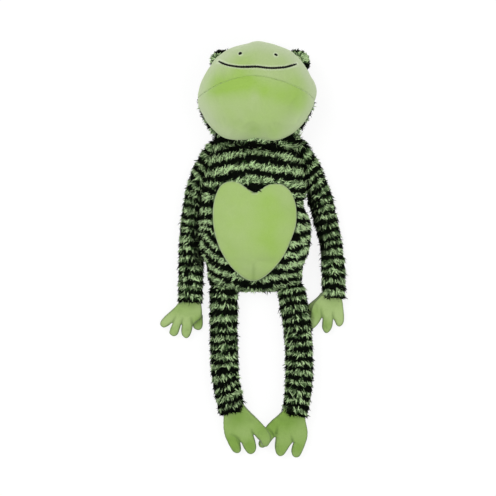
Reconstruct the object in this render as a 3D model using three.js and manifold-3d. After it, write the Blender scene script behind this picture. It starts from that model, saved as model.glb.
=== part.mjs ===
// A long-limbed sewn plush frog lying on its back, in millimetres.
// +X is the frog's left, +Y runs towards its head and +Z comes out of its belly.
// The origin is on the flat of the torso's back, and every piece rests on z = 0.

import * as THREE from 'three';
import { mergeVertices } from 'three/addons/utils/BufferGeometryUtils.js';
import Module from 'manifold-3d';

const wasm = await Module();
wasm.setup();

// cloth and fit
const seamGap = 0.3;
const floorCut = 0.5; // depth of the flat under a form where it rests
const plushWall = 3;
const velboaWall = 1.8;
const swingClear = 0.9; // room round a limb that swings in the torso
const overrun = 6; // how far a cutter runs past what it cuts
const farReach = 400; // a cutting block that is larger than the whole frog

// torso, from the shoulders to the seat
const torsoTop = 114;
const torsoLength = 218;
const torsoHalfWidth = 74;
const torsoHalfHeight = 40;
const sideSeamHeight = 37;
const torsoPower = 2.3; // a little squarer than an ellipse
const torsoProfileShares = [ // along the length, half width, half height
  [0.016, 0.42, 0.28],
  [0.046, 0.58, 0.44],
  [0.092, 0.68, 0.6],
  [0.156, 0.77, 0.73],
  [0.257, 0.86, 0.87],
  [0.385, 0.93, 0.95],
  [0.523, 0.98, 1],
  [0.683, 1, 1],
  [0.798, 0.96, 0.9],
  [0.881, 0.89, 0.75],
  [0.945, 0.82, 0.57],
  [0.986, 0.7, 0.4],
];

// belly patch
const heartHalfWidth = 56.5;
const heartLobeTop = 43;
const heartNotch = 28;
const heartTip = -91;
const heartWidest = 2;
const heartPatchFloor = 45; // the patch is cut from the front only, above this height
const heartLobeShare = 0.55;
const heartFlankShare = 0.5;

// head
const headShift = 3; // the head lies a little to its own left
const headWidestY = 164;
const headHalfWidth = 79;
const crownLength = 68;
const chinLength = 65;
const headHeight = 115;
const crownPower = 1.8;
const chinPower = 2.4;
const faceSeamHeight = 47;
const faceSeamTilt = 18;
const headProfileShares = [ // height, spread, crown side length, shift towards the crown
  [0.02, 0.36, 0.85, 0],
  [0.08, 0.62, 0.84, 0],
  [0.18, 0.79, 0.82, 0],
  [0.3, 0.9, 0.82, 0],
  [0.42, 0.96, 0.89, 0],
  [0.53, 1, 1, 0],
  [0.64, 0.975, 1, 0.01],
  [0.75, 0.89, 1, 0.03],
  [0.85, 0.745, 1, 0.06],
  [0.93, 0.54, 1, 0.09],
  [0.98, 0.3, 1, 0.11],
];

// seams and stitches of the face
const archShift = -5; // the arch's top lies a little to the frog's right of the head's middle
const archTop = 185;
const archRise = 26;
const archHalfSpan = 84;
const mouthHalfWidth = 52;
const mouthLine = 205;
const mouthDip = 10;
const mouthShares = [ // across the half width, down the dip
  [-0.98, 0.09],
  [-0.72, 0.62],
  [-0.34, 0.85],
  [0, 0.78],
  [0.38, 1],
  [0.67, 0.85],
  [1, 0.4],
];
const threadRadius = 0.9;
const nostrilSpread = 24;
const nostrilY = 215;
const nostrilLength = 5.4;
const nostrilWidth = 2.6;
const nostrilDepth = 2.2;

// eyes
const eyeRadius = 17.5;
const eyeSpread = 50.4;
const eyeShift = 2.6; // from the head's middle to the middle between the eyes
const eyeY = 203.2;
const eyeZ = 36;
const eyeLeanShares = { left: [0.12, 0.1], right: [-0.21, 0.29] }; // sideways and up, for one out
const eyeFrontStart = 15; // from the ball's centre to the front panel's seam
const pupilHalfWidth = 3;
const pupilHalfLength = 4.6;
const pupilThickness = 1.8;

// arms
const armPivotX = 57.7;
const armPivotShift = 1.3;
const armPivotY = 88.6;
const armLength = 200;
const armRadius = 16.5;
const armRadiusShares = [ // along, radius
  [0, 1],
  [0.35, 1],
  [0.7, 0.97],
  [1, 0.9],
];
const armBendShares = { // along the arm, outwards
  left: [[0, 0], [0.1475, 0.0805], [0.3155, 0.1345], [0.5705, 0.1945], [0.846, 0.2315], [0.973, 0.2285]],
  right: [[0, 0], [0.148, 0.067], [0.349, 0.114], [0.618, 0.148], [0.886, 0.148], [1, 0.15]],
};

// hands, whose places are shares of their reach: outwards, then down from the wrist
const handReach = 48;
const handHalfWidth = 19;
const handHalfHeight = 10;
const digitRadius = 6.5;
const digitRootRadius = 7.6;
const handPalmShares = { left: [-0.096, 0.4], right: [0.177, 0.448] };
const handDigitShares = {
  left: [[-0.43, 0.42], [-0.45, 0.806], [-0.156, 0.904], [0.202, 0.735]],
  right: [[0.694, 0.7], [0.45, 0.9375], [0.121, 0.998], [-0.202, 0.769]],
};

const fillingEndShare = 0.6; // of the cuff's ball, from its centre to where the filling ends

// legs
const legPivotX = 45.5;
const legPivotShift = 3.5;
const legPivotY = -106;
const legLength = 158;
const legRadius = 17.5;
const legRadiusShares = [
  [0, 1],
  [0.4, 1],
  [0.75, 0.98],
  [1, 0.92],
];
const legRootShare = 1 / 3; // of the leg, which the torso makes room for
const legBendShares = {
  left: [[0, 0], [0.213, 0.037], [0.375, 0.055], [0.647, 0.066], [0.867, 0.051], [1, 0.035]],
  right: [[0, 0], [0.272, 0], [0.494, 0], [0.706, -0.013], [0.867, -0.0405], [1, -0.072]],
};

// feet
const footReach = 55;
const footHalfWidth = 23;
const footHalfHeight = 11;
const toeRadius = 8.2;
const toeRootRadius = 9.2;
const footPalmShares = { left: [-0.162, 0.473], right: [-0.24, 0.44] };
const footToeShares = {
  left: [[-0.564, 0.669], [-0.362, 0.949], [0.047, 0.995]],
  right: [[-0.076, 0.867], [-0.422, 0.904], [-0.66, 0.709]],
};

// glove of a hand or a foot: its seam falls from the wrist to the digits' tips
const gloveSeamDrop = 2; // from the wrist's middle to the seam
const gloveSeamTilt = 8;
const palmShares = [ // along to the palm, half width, half height, drop to the floor
  [0, 0.42, 0.42, 0],
  [0.3, 0.52, 0.48, 0],
  [0.58, 0.74, 0.6, 0.1],
  [1.1, 1, 1, 1],
  [1.55, 0.92, 0.92, 1],
  [1.95, 0.5, 0.6, 1],
];
const palmEndShare = 2.05;

// joints, whose pivots also shape the sockets that are cut in the torso
const neckPivotY = 106;
const neckPivotZ = 28;
const neckRadius = 22; // of the neck's ball, which the head turns on
const neckClear = 0.6;
const neckSwing = [-20, 15];
const hipSwing = [0, 95];

// how round and how finely faceted the forms are
const roundPower = 2; // of a section that is a true circle or ellipse
const bodySides = 16;
const limbSides = 10;
const limbSteps = 6;
const digitSides = 6;
const socketSides = 20;
const domeSteps = 3;
const ballRowShare = 0.6; // rows of a ball to its sides
const eyeSides = 16;
const padSides = 8;
const padRows = 4;
const curveSteps = 8;
const archSteps = 14;
const threadSteps = 14;
const threadSides = 3;
const legRootSteps = 2;
const halvings = 20;

// colours
const velboaGreen = 0x6f9a3c;
const velboaEye = 0x8cc63f;
const plushStripe = 0x54752d;
const heartGreen = 0x86a860;
const blackThread = 0x111111;
const fillingWhite = 0xf2f0ea;
const clothRoughness = 0.95;
const threadRoughness = 0.7;
const eyeRoughness = 0.6;

const sides = { left: 1, right: -1 };

// A value read off a table of shares, in a straight line between its rows.
function readShares(table, at, column) {
  const last = table.length - 1;
  if (at <= table[0][0]) return table[0][column];
  for (let row = 1; row <= last; row += 1) {
    const [before, after] = [table[row - 1], table[row]];
    if (at <= after[0]) {
      const part = (at - before[0]) / (after[0] - before[0]);
      return THREE.MathUtils.lerp(before[column], after[column], part);
    }
  }
  return table[last][column];
}

// A cosine or sine raised so that a circle of them becomes a squarer or a narrower curve.
function rounded(value, power) {
  return Math.sign(value) * Math.abs(value) ** (roundPower / power);
}

// One ring of a form: a rounded section that stands across a heading in the XY plane.
function crossRing({ centre, heading, wide, high }, count, power = roundPower) {
  const across = new THREE.Vector3(heading.y, -heading.x, 0);
  return Array.from({ length: count }, (_, step) => {
    const angle = (2 * Math.PI * step) / count;
    return centre.clone()
      .addScaledVector(across, wide * rounded(Math.cos(angle), power))
      .add(new THREE.Vector3(0, 0, high * rounded(Math.sin(angle), power)));
  });
}

// A closed form through rings of equal count, with a pole before the first and after the last.
function formGeometry(startPole, rings, endPole) {
  const count = rings[0].length;
  const points = [startPole, ...rings.flat(), endPole];
  const end = points.length - 1;
  const triangles = [];
  for (let step = 0; step < count; step += 1) {
    const next = (step + 1) % count;
    triangles.push(0, 1 + step, 1 + next);
    for (let ring = 0; ring < rings.length - 1; ring += 1) {
      const low = 1 + ring * count;
      const high = low + count;
      triangles.push(low + step, high + step, high + next, low + step, high + next, low + next);
    }
    const last = 1 + (rings.length - 1) * count;
    triangles.push(end, last + next, last + step);
  }
  const geometry = new THREE.BufferGeometry().setFromPoints(points);
  geometry.setIndex(triangles);
  return geometry;
}

// A closed geometry as a solid that can be joined and cut.
function solidOf(geometry) {
  const bare = geometry.clone();
  bare.deleteAttribute('normal');
  bare.deleteAttribute('uv');
  const merged = mergeVertices(bare);
  return new wasm.Manifold(new wasm.Mesh({
    numProp: 3,
    vertProperties: new Float32Array(merged.attributes.position.array),
    triVerts: new Uint32Array(merged.index.array),
  }));
}

// A solid as a geometry.
function geometryOf(solid) {
  const mesh = solid.getMesh();
  const geometry = new THREE.BufferGeometry();
  geometry.setAttribute('position', new THREE.BufferAttribute(new Float32Array(mesh.vertProperties), 3));
  geometry.setIndex(Array.from(mesh.triVerts));
  geometry.computeVertexNormals();
  return geometry;
}

function joined(solids) {
  return solids.reduce((sum, solid) => sum.add(solid));
}

function cut(solid, cutters) {
  return cutters.reduce((rest, cutter) => rest.subtract(cutter), solid);
}

function ball(centre, radius, count = limbSides) {
  const geometry = new THREE.SphereGeometry(radius, count, Math.ceil(count * ballRowShare));
  return solidOf(geometry.translate(centre.x, centre.y, centre.z));
}

// A block that fills everything on one side of a plane, which passes through a point.
function blockBeyond(point, normal) {
  const geometry = new THREE.BoxGeometry(farReach * 2, farReach * 2, farReach);
  geometry.translate(0, 0, farReach / 2);
  geometry.applyQuaternion(new THREE.Quaternion().setFromUnitVectors(new THREE.Vector3(0, 0, 1), normal));
  return solidOf(geometry.translate(point.x, point.y, point.z));
}

// The two parts of a solid on either side of a seam plane, with the seam's gap between them.
function splitAt(solid, point, normal) {
  const half = normal.clone().multiplyScalar(seamGap / 2);
  const front = blockBeyond(point.clone().add(half), normal);
  const back = blockBeyond(point.clone().sub(half), normal.clone().negate());
  return [solid.intersect(front), solid.intersect(back)];
}

const up = new THREE.Vector3(0, 0, 1);
const floorBlock = blockBeyond(new THREE.Vector3(), up.clone().negate());

// A geometry turned about an axis through a pivot.
function turned(geometry, pivot, axis, degrees) {
  const copy = geometry.clone().translate(-pivot.x, -pivot.y, -pivot.z);
  const spin = new THREE.Quaternion().setFromAxisAngle(axis, THREE.MathUtils.degToRad(degrees));
  return copy.applyQuaternion(spin).translate(pivot.x, pivot.y, pivot.z);
}

// The solids that a swinging geometry passes through, at each of a list of angles.
function swept(geometry, pivot, axis, angles) {
  return angles.map((degrees) => solidOf(turned(geometry, pivot, axis, degrees)));
}

// The torso's form: a pillow whose underside lies on the floor all along.
function torsoGeometry(grow) {
  const spread = 1 + grow / torsoHalfWidth;
  const swell = 1 + grow / torsoHalfHeight;
  const middle = torsoTop - torsoLength / 2;
  const stretch = 1 + (2 * grow) / torsoLength;
  const atShare = (share) => middle + (torsoLength / 2 - share * torsoLength) * stretch;
  const heading = new THREE.Vector3(0, -1, 0);
  const rings = torsoProfileShares.map(([along, wide, high]) => {
    const lift = torsoHalfHeight * high - floorCut;
    const centre = new THREE.Vector3(0, atShare(along), lift);
    return crossRing({
      centre, heading, wide: torsoHalfWidth * wide * spread, high: torsoHalfHeight * high * swell,
    }, bodySides, torsoPower);
  });
  const endLift = torsoHalfHeight * torsoProfileShares.at(-1)[2] - floorCut;
  const top = new THREE.Vector3(0, atShare(0), torsoHalfHeight * torsoProfileShares[0][2] - floorCut);
  return formGeometry(top, rings, new THREE.Vector3(0, atShare(1), endLift));
}

// The head's outline seen from the front: an egg that is narrow at the crown and square at the chin.
function headRing(height, spread, crown, shift, grow) {
  const centre = new THREE.Vector3(headShift, headWidestY + shift * crownLength, height);
  const growth = 1 + grow / headHalfWidth;
  return Array.from({ length: bodySides }, (_, step) => {
    const angle = (-2 * Math.PI * step) / bodySides;
    const [acrossPart, upPart] = [Math.cos(angle), Math.sin(angle)];
    const power = upPart > 0 ? crownPower : chinPower;
    const length = upPart > 0 ? crownLength * crown : chinLength;
    return new THREE.Vector3(
      headHalfWidth * spread * growth * rounded(acrossPart, power),
      length * spread * growth * rounded(upPart, power),
      0,
    ).add(centre);
  });
}

function headGeometry(grow) {
  const middle = headHeight / 2;
  const stretch = 1 + (2 * grow) / headHeight;
  const atShare = (share) => middle + (share - 1 / 2) * headHeight * stretch - floorCut;
  const rings = headProfileShares.map(([height, spread, crown, shift]) => (
    headRing(atShare(height), spread, crown, shift, grow)
  ));
  const topShift = headProfileShares.at(-1)[3] * crownLength;
  const low = new THREE.Vector3(headShift, headWidestY, atShare(0));
  const high = new THREE.Vector3(headShift, headWidestY + topShift, atShare(1));
  return formGeometry(low, rings, high);
}

// How high the face's surface is over a place on the floor, found by halving.
function faceHeight(x, y) {
  let [low, high] = [1 / 2, 1];
  for (let halving = 0; halving < halvings; halving += 1) {
    const share = (low + high) / 2;
    const spread = readShares(headProfileShares, share, 1);
    const shift = readShares(headProfileShares, share, 3);
    const across = Math.abs(x - headShift) / headHalfWidth;
    const along = y - headWidestY - shift * crownLength;
    const power = along > 0 ? crownPower : chinPower;
    const length = along > 0 ? crownLength : chinLength;
    const outside = across ** power + Math.abs(along / length) ** power > spread ** power;
    if (outside) high = share; else low = share;
  }
  return low * headHeight - floorCut;
}

function onFace(x, y) {
  return new THREE.Vector3(x, y, faceHeight(x, y));
}

// A prism that stands on the floor plane from one height up to another.
function prism(shape, from, to, steps = curveSteps) {
  const geometry = new THREE.ExtrudeGeometry(shape, {
    depth: to - from, bevelEnabled: false, curveSegments: steps,
  });
  return solidOf(geometry.translate(0, 0, from));
}

// Everything below the arched seam, seen from the front.
function underArch(lower) {
  const shape = new THREE.Shape();
  const middle = headShift + archShift;
  const [start, end] = [middle - archHalfSpan, middle + archHalfSpan];
  const foot = archTop - archRise - lower;
  shape.moveTo(start, foot);
  shape.lineTo(start, -farReach);
  shape.lineTo(end, -farReach);
  shape.lineTo(end, foot);
  shape.quadraticCurveTo(middle, archTop + archRise - lower, start, foot);
  return prism(shape, 0, farReach, archSteps);
}

// The heart: two lobes at the top and a long point at the bottom.
function heartShape(grow) {
  const wide = heartHalfWidth + grow;
  const lobe = heartLobeTop + grow;
  const lobeX = wide * (1 - heartLobeShare);
  const flank = heartWidest + (heartTip - heartWidest) * heartFlankShare;
  const shape = new THREE.Shape();
  shape.moveTo(0, heartNotch + grow);
  shape.quadraticCurveTo(0, lobe, lobeX, lobe);
  shape.quadraticCurveTo(wide, lobe, wide, heartWidest);
  shape.quadraticCurveTo(wide, flank, 0, heartTip - grow);
  shape.quadraticCurveTo(-wide, flank, -wide, heartWidest);
  shape.quadraticCurveTo(-wide, lobe, -lobeX, lobe);
  shape.quadraticCurveTo(0, lobe, 0, heartNotch + grow);
  return shape;
}

// A limb's middle line at its root's height, as points from its pivot down to its cuff.
function limbCurve(limb) {
  const points = limb.bendShares.map(([along, out]) => new THREE.Vector3(
    limb.pivot.x + limb.side * out * limb.length, limb.pivot.y - along * limb.length, 0,
  ));
  return new THREE.CatmullRomCurve3(points);
}

// A limb's form: a half ball about its pivot, then a tube along its middle line on the floor.
function limbGeometry(limb, { grow = 0, extra = 0, length = 1, steps = limbSteps }) {
  const curve = limbCurve(limb);
  const startHeading = curve.getTangentAt(0);
  const rings = [];
  for (let step = 1; step < domeSteps; step += 1) {
    const angle = (Math.PI / 2) * (step / domeSteps);
    const radius = limb.radius + grow;
    const centre = limb.pivot.clone().addScaledVector(startHeading, -radius * Math.cos(angle));
    const wide = radius * Math.sin(angle);
    rings.push(crossRing({ centre, heading: startHeading, wide, high: wide }, limbSides));
  }
  let [centre, heading] = [limb.pivot, startHeading];
  for (let step = 0; step <= steps; step += 1) {
    const share = (length * step) / steps;
    const radius = limb.radius * readShares(limb.radiusShares, share, 1);
    heading = curve.getTangentAt(share);
    centre = curve.getPointAt(share).setZ(radius - floorCut);
    rings.push(crossRing({ centre, heading, wide: radius + grow, high: radius + grow }, limbSides));
  }
  if (extra > 0) {
    const radius = limb.radius * limb.radiusShares.at(-1)[1] + grow;
    centre = centre.clone().addScaledVector(heading, extra);
    rings.push(crossRing({ centre, heading, wide: radius, high: radius }, limbSides));
  }
  const pole = limb.pivot.clone().addScaledVector(startHeading, -limb.radius - grow);
  return formGeometry(pole, rings, centre);
}

function makeLimb(side, kind) {
  const arm = kind === 'arm';
  const sign = sides[side];
  const radius = arm ? armRadius : legRadius;
  const limb = {
    side: sign,
    length: arm ? armLength : legLength,
    radius,
    radiusShares: arm ? armRadiusShares : legRadiusShares,
    bendShares: (arm ? armBendShares : legBendShares)[side],
    pivot: new THREE.Vector3(
      sign * (arm ? armPivotX : legPivotX) + (arm ? armPivotShift : legPivotShift),
      arm ? armPivotY : legPivotY,
      radius - floorCut,
    ),
  };
  const curve = limbCurve(limb);
  const cuffRadius = radius * limb.radiusShares.at(-1)[1];
  limb.cuff = curve.getPointAt(1).setZ(cuffRadius - floorCut);
  limb.cuffHeading = curve.getTangentAt(1);
  limb.ballRadius = (cuffRadius - plushWall) * Math.cos(Math.PI / limbSides) - seamGap;
  return limb;
}

// The sleeve of striped cloth, open at its cuff, and the filling inside it.
function limbSolids(limb) {
  const outer = solidOf(limbGeometry(limb, {})).subtract(floorBlock);
  const hollow = solidOf(limbGeometry(limb, { grow: -plushWall, extra: overrun }));
  const core = solidOf(limbGeometry(limb, { grow: -plushWall - seamGap, extra: overrun }));
  const coreEnd = limb.cuff.clone().addScaledVector(limb.cuffHeading, -limb.ballRadius * fillingEndShare);
  return {
    sleeve: outer.subtract(hollow),
    stuffing: cut(core, [
      blockBeyond(coreEnd, limb.cuffHeading),
      ball(limb.cuff, limb.ballRadius + swingClear),
    ]),
  };
}

// A digit: a tapered round stalk from the palm to its tip, on the floor.
function digitSolid(root, tip, rootRadius, tipRadius) {
  const heading = tip.clone().sub(root).setZ(0).normalize();
  const rings = [];
  for (const share of [0, 1]) {
    const radius = THREE.MathUtils.lerp(rootRadius, tipRadius, share);
    const centre = root.clone().lerp(tip, share).setZ(radius - floorCut);
    rings.push(crossRing({ centre, heading, wide: radius, high: radius }, digitSides));
  }
  const centre = tip.clone().setZ(tipRadius - floorCut);
  const shoulder = tipRadius * Math.SQRT1_2;
  const bend = centre.clone().addScaledVector(heading, shoulder);
  rings.push(crossRing({ centre: bend, heading, wide: shoulder, high: shoulder }, digitSides));
  const start = root.clone().setZ(rootRadius - floorCut);
  return solidOf(formGeometry(start, rings, centre.clone().addScaledVector(heading, tipRadius)));
}

// A hand's or foot's form: a ball in the cuff, a neck, a palm and its digits, grown by a length.
function gloveSolid(glove, grow) {
  const { wrist, palm, tips, side } = glove;
  const place = ([out, down]) => new THREE.Vector3(
    wrist.x + side * out * glove.reach, wrist.y - down * glove.reach, 0,
  );
  const palmCentre = place(palm);
  const heading = new THREE.Vector3(0, -1, 0);
  const palmLift = glove.halfHeight - floorCut;
  const along = (share) => wrist.clone().lerp(palmCentre, share);
  const rings = palmShares.map(([share, wide, high, drop]) => crossRing({
    centre: along(share).setZ(THREE.MathUtils.lerp(wrist.z, palmLift, drop)),
    heading,
    wide: glove.halfWidth * wide + grow,
    high: glove.halfHeight * high + grow,
  }, limbSides));
  const end = along(palmEndShare).setZ(palmLift).addScaledVector(heading, grow);
  const palmSolid = solidOf(formGeometry(wrist.clone(), rings, end));
  const digits = tips.map((tip) => (
    digitSolid(palmCentre, place(tip), glove.rootRadius, glove.tipRadius)
  ));
  const pad = [ball(wrist, glove.ballRadius + grow, padSides), palmSolid];
  return joined(grow < 0 ? pad : [...pad, ...digits]);
}

// The two panels of a glove, seamed all round, and the filling inside them.
function gloveSolids(glove) {
  const shell = gloveSolid(glove, 0).subtract(floorBlock).subtract(gloveSolid(glove, -velboaWall));
  const tilt = THREE.MathUtils.degToRad(gloveSeamTilt);
  const seam = glove.wrist.clone().addScaledVector(up, -gloveSeamDrop);
  const [over, under] = splitAt(shell, seam, new THREE.Vector3(0, -Math.sin(tilt), Math.cos(tilt)));
  return { over, under, stuffing: gloveSolid(glove, -velboaWall - seamGap) };
}

function makeGlove(side, kind, limb) {
  const hand = kind === 'hand';
  return {
    side: sides[side],
    wrist: limb.cuff,
    ballRadius: limb.ballRadius,
    reach: hand ? handReach : footReach,
    halfWidth: hand ? handHalfWidth : footHalfWidth,
    halfHeight: hand ? handHalfHeight : footHalfHeight,
    rootRadius: hand ? digitRootRadius : toeRootRadius,
    tipRadius: hand ? digitRadius : toeRadius,
    palm: (hand ? handPalmShares : footPalmShares)[side],
    tips: (hand ? handDigitShares : footToeShares)[side],
  };
}

const arms = { left: makeLimb('left', 'arm'), right: makeLimb('right', 'arm') };
const legs = { left: makeLimb('left', 'leg'), right: makeLimb('right', 'leg') };
const neckPivot = new THREE.Vector3(headShift, neckPivotY, neckPivotZ);
const acrossAxis = new THREE.Vector3(1, 0, 0);

// What the torso's outside makes room for: the head, the arms and the legs, wherever they swing.
function torsoRoom() {
  const limbs = Object.keys(sides).flatMap((side) => {
    const [arm, leg] = [arms[side], legs[side]];
    const legRoot = limbGeometry(leg, { grow: swingClear, length: legRootShare, steps: legRootSteps });
    return [
      ball(arm.pivot, armRadius + seamGap, socketSides),
      ball(leg.pivot, legRadius + seamGap, socketSides),
      solidOf(limbGeometry(arm, { grow: seamGap })),
      ...swept(legRoot, leg.pivot, acrossAxis.clone().negate(), hipSwing),
    ];
  });
  return [...swept(headGeometry(seamGap), neckPivot, acrossAxis, neckSwing), ...limbs];
}

// The torso's inside, with room round the sockets, which ends above the hips in a flat seat.
function torsoInside(grow, room) {
  const seat = new THREE.Vector3(0, legPivotY + legRadius + swingClear + room, 0);
  return cut(solidOf(torsoGeometry(grow)), [
    ...swept(headGeometry(room), neckPivot, acrossAxis, neckSwing),
    ...Object.values(arms).map((arm) => solidOf(limbGeometry(arm, { grow: room }))),
    blockBeyond(seat, new THREE.Vector3(0, -1, 0)),
  ]);
}

function torsoSolids() {
  const outer = cut(solidOf(torsoGeometry(0)), [floorBlock, ...torsoRoom()])
    .add(ball(neckPivot, neckRadius, socketSides));
  const hollow = torsoInside(-plushWall, seamGap + plushWall);
  const [front, back] = splitAt(outer.subtract(hollow), new THREE.Vector3(0, 0, sideSeamHeight), up);
  const patch = prism(heartShape(0), heartPatchFloor, farReach);
  const hole = prism(heartShape(seamGap), heartPatchFloor - seamGap, farReach);
  return {
    front: front.subtract(hole),
    back,
    heart: front.intersect(patch),
    stuffing: torsoInside(-plushWall - seamGap, plushWall + 2 * seamGap),
  };
}

// The mouth's thread lies half sunk in the face.
function threadSolid(radius) {
  const points = mouthShares.map(([across, down]) => onFace(
    headShift + across * mouthHalfWidth, mouthLine - down * mouthDip,
  ));
  const section = new THREE.Shape().absarc(0, 0, radius, 0, 2 * Math.PI);
  const extrudePath = new THREE.CatmullRomCurve3(points);
  return solidOf(new THREE.ExtrudeGeometry(section, {
    steps: threadSteps, curveSegments: threadSides, bevelEnabled: false, extrudePath,
  }));
}

// A flattened ball that lies on a surface, with its thin way along a normal.
function padGeometry(centre, normal, wide, long, thick) {
  const geometry = new THREE.SphereGeometry(1, padSides, padRows);
  geometry.scale(wide, long, thick);
  geometry.applyQuaternion(new THREE.Quaternion().setFromUnitVectors(up, normal));
  return geometry.translate(centre.x, centre.y, centre.z);
}

function nostrilSolid(sign, grow) {
  const centre = onFace(headShift + sign * nostrilSpread, nostrilY);
  const normal = new THREE.Vector3(0, 1, 1).normalize();
  return solidOf(padGeometry(
    centre, normal, nostrilLength / 2 + grow, nostrilWidth / 2 + grow, nostrilDepth / 2 + grow,
  ));
}

function eyePlaces(side) {
  const sign = sides[side];
  return {
    centre: new THREE.Vector3(headShift + eyeShift + sign * eyeSpread, eyeY, eyeZ),
    facing: new THREE.Vector3(...eyeLeanShares[side], 1).normalize(),
  };
}

// An eye's hood and its smooth front, with the embroidered pupil set into the front.
function eyeSolids(side) {
  const { centre, facing } = eyePlaces(side);
  const room = solidOf(headGeometry(seamGap));
  const whole = ball(centre, eyeRadius, eyeSides).subtract(room);
  const seam = centre.clone().addScaledVector(facing, eyeFrontStart);
  const [front, hood] = splitAt(whole, seam, facing);
  const discCentre = centre.clone().addScaledVector(facing, eyeRadius - pupilThickness / 4);
  const disc = (grow) => solidOf(padGeometry(
    discCentre, facing, pupilHalfWidth + grow, pupilHalfLength + grow, pupilThickness / 2 + grow,
  ));
  return { hood, front: front.subtract(disc(seamGap)), disc: disc(0).subtract(room) };
}

// The head with the neck's socket in it, which is grown by a length of its own.
function headForm(grow, room) {
  return solidOf(headGeometry(grow)).subtract(ball(neckPivot, neckRadius + neckClear + room, socketSides));
}

function headSolids() {
  const shell = headForm(0, 0).subtract(floorBlock).subtract(headForm(-plushWall, plushWall));
  const tilt = THREE.MathUtils.degToRad(faceSeamTilt);
  const seamPoint = new THREE.Vector3(headShift, headWidestY, faceSeamHeight);
  const [face, back] = splitAt(shell, seamPoint, new THREE.Vector3(0, Math.sin(tilt), Math.cos(tilt)));
  const stitches = [threadSolid(threadRadius + seamGap), nostrilSolid(1, seamGap), nostrilSolid(-1, seamGap)];
  return {
    upper: cut(face.subtract(underArch(0)), stitches),
    chin: face.intersect(underArch(seamGap)),
    back,
    stuffing: headForm(-plushWall - seamGap, plushWall + seamGap),
  };
}

const frog = new THREE.Group();

function addPiece(name, solid, color, roughness = clothRoughness) {
  const material = new THREE.MeshStandardMaterial({ color, roughness, metalness: 0 });
  const mesh = new THREE.Mesh(geometryOf(solid), material);
  mesh.name = name;
  frog.add(mesh);
}

const head = headSolids();
addPiece('face_upper', head.upper, velboaGreen);
addPiece('chin_panel', head.chin, velboaGreen);
addPiece('head_back', head.back, plushStripe);
addPiece('head_stuffing', head.stuffing, fillingWhite);
addPiece('mouth_thread', threadSolid(threadRadius), blackThread, threadRoughness);
for (const side of Object.keys(sides)) {
  const eye = eyeSolids(side);
  addPiece(`eye_bump_${side}`, eye.hood, plushStripe);
  addPiece(`eye_front_${side}`, eye.front, velboaEye);
  addPiece(`eye_${side}`, eye.disc, blackThread, eyeRoughness);
  addPiece(`nostril_${side}`, nostrilSolid(sides[side], 0), blackThread, threadRoughness);
}

const torso = torsoSolids();
addPiece('torso_front', torso.front, plushStripe);
addPiece('torso_back', torso.back, plushStripe);
addPiece('belly_heart', torso.heart, heartGreen);
addPiece('torso_stuffing', torso.stuffing, fillingWhite);

for (const side of Object.keys(sides)) {
  const arm = limbSolids(arms[side]);
  addPiece(`arm_sleeve_${side}`, arm.sleeve, plushStripe);
  addPiece(`arm_stuffing_${side}`, arm.stuffing, fillingWhite);
  const hand = gloveSolids(makeGlove(side, 'hand', arms[side]));
  addPiece(`hand_back_${side}`, hand.over, velboaGreen);
  addPiece(`hand_palm_${side}`, hand.under, velboaGreen);
  addPiece(`hand_stuffing_${side}`, hand.stuffing, fillingWhite);
  const leg = limbSolids(legs[side]);
  addPiece(`leg_sleeve_${side}`, leg.sleeve, plushStripe);
  addPiece(`leg_stuffing_${side}`, leg.stuffing, fillingWhite);
  const foot = gloveSolids(makeGlove(side, 'foot', legs[side]));
  addPiece(`foot_top_${side}`, foot.over, velboaGreen);
  addPiece(`foot_sole_${side}`, foot.under, velboaGreen);
  addPiece(`foot_stuffing_${side}`, foot.stuffing, fillingWhite);
}

export default frog;
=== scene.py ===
import bpy
import numpy as np
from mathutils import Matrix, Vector
from mathutils.geometry import delaunay_2d_cdt


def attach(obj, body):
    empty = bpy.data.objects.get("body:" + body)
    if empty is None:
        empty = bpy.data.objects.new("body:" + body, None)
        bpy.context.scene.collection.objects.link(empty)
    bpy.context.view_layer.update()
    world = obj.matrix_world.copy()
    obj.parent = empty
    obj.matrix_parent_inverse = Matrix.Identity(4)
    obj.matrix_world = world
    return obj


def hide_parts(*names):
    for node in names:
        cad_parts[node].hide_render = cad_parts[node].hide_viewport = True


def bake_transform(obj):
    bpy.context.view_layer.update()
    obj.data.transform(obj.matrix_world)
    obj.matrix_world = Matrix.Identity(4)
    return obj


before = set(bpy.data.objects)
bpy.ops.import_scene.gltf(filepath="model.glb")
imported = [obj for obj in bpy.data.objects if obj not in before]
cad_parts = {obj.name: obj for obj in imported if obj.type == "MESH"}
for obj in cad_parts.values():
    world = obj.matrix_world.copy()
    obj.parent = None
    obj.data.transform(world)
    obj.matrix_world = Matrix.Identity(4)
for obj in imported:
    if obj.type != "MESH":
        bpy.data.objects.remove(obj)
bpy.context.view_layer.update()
print("frame loaded")

# The frog lies on its back: +X is its left, +Y its head, +Z comes out of its belly, in metres.
mm = 0.001

# Camera: straight above, with a long lens

camera = {
    "height": 5.0,
    "sharpHeight": 45 * mm,  # where a pixel is pixelSize wide
    "pixelSize": 1.343 * mm,
    "frameSize": 496,
    "originPixel": (255.0, 214.0),
    "sensor": 36.0,
    "far": 50.0,
}


def middleOfView():
    half = camera["frameSize"] / 2
    px, py = camera["originPixel"]
    return np.array([half - px, py - half]) * camera["pixelSize"]


# Places seen at pixels of the photograph, followed along the camera's rays to a height.
def onRay(pixels, height):
    pixels = np.asarray(pixels, float)
    px, py = camera["originPixel"]
    flat = np.stack([pixels[..., 0] - px, py - pixels[..., 1]], -1) * camera["pixelSize"]
    reach = (camera["height"] - height) / (camera["height"] - camera["sharpHeight"])
    middle = middleOfView()
    return middle + (flat - middle) * reach


def addObject(name, data):
    made = bpy.data.objects.new(name, data)
    bpy.context.scene.collection.objects.link(made)
    return made


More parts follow.
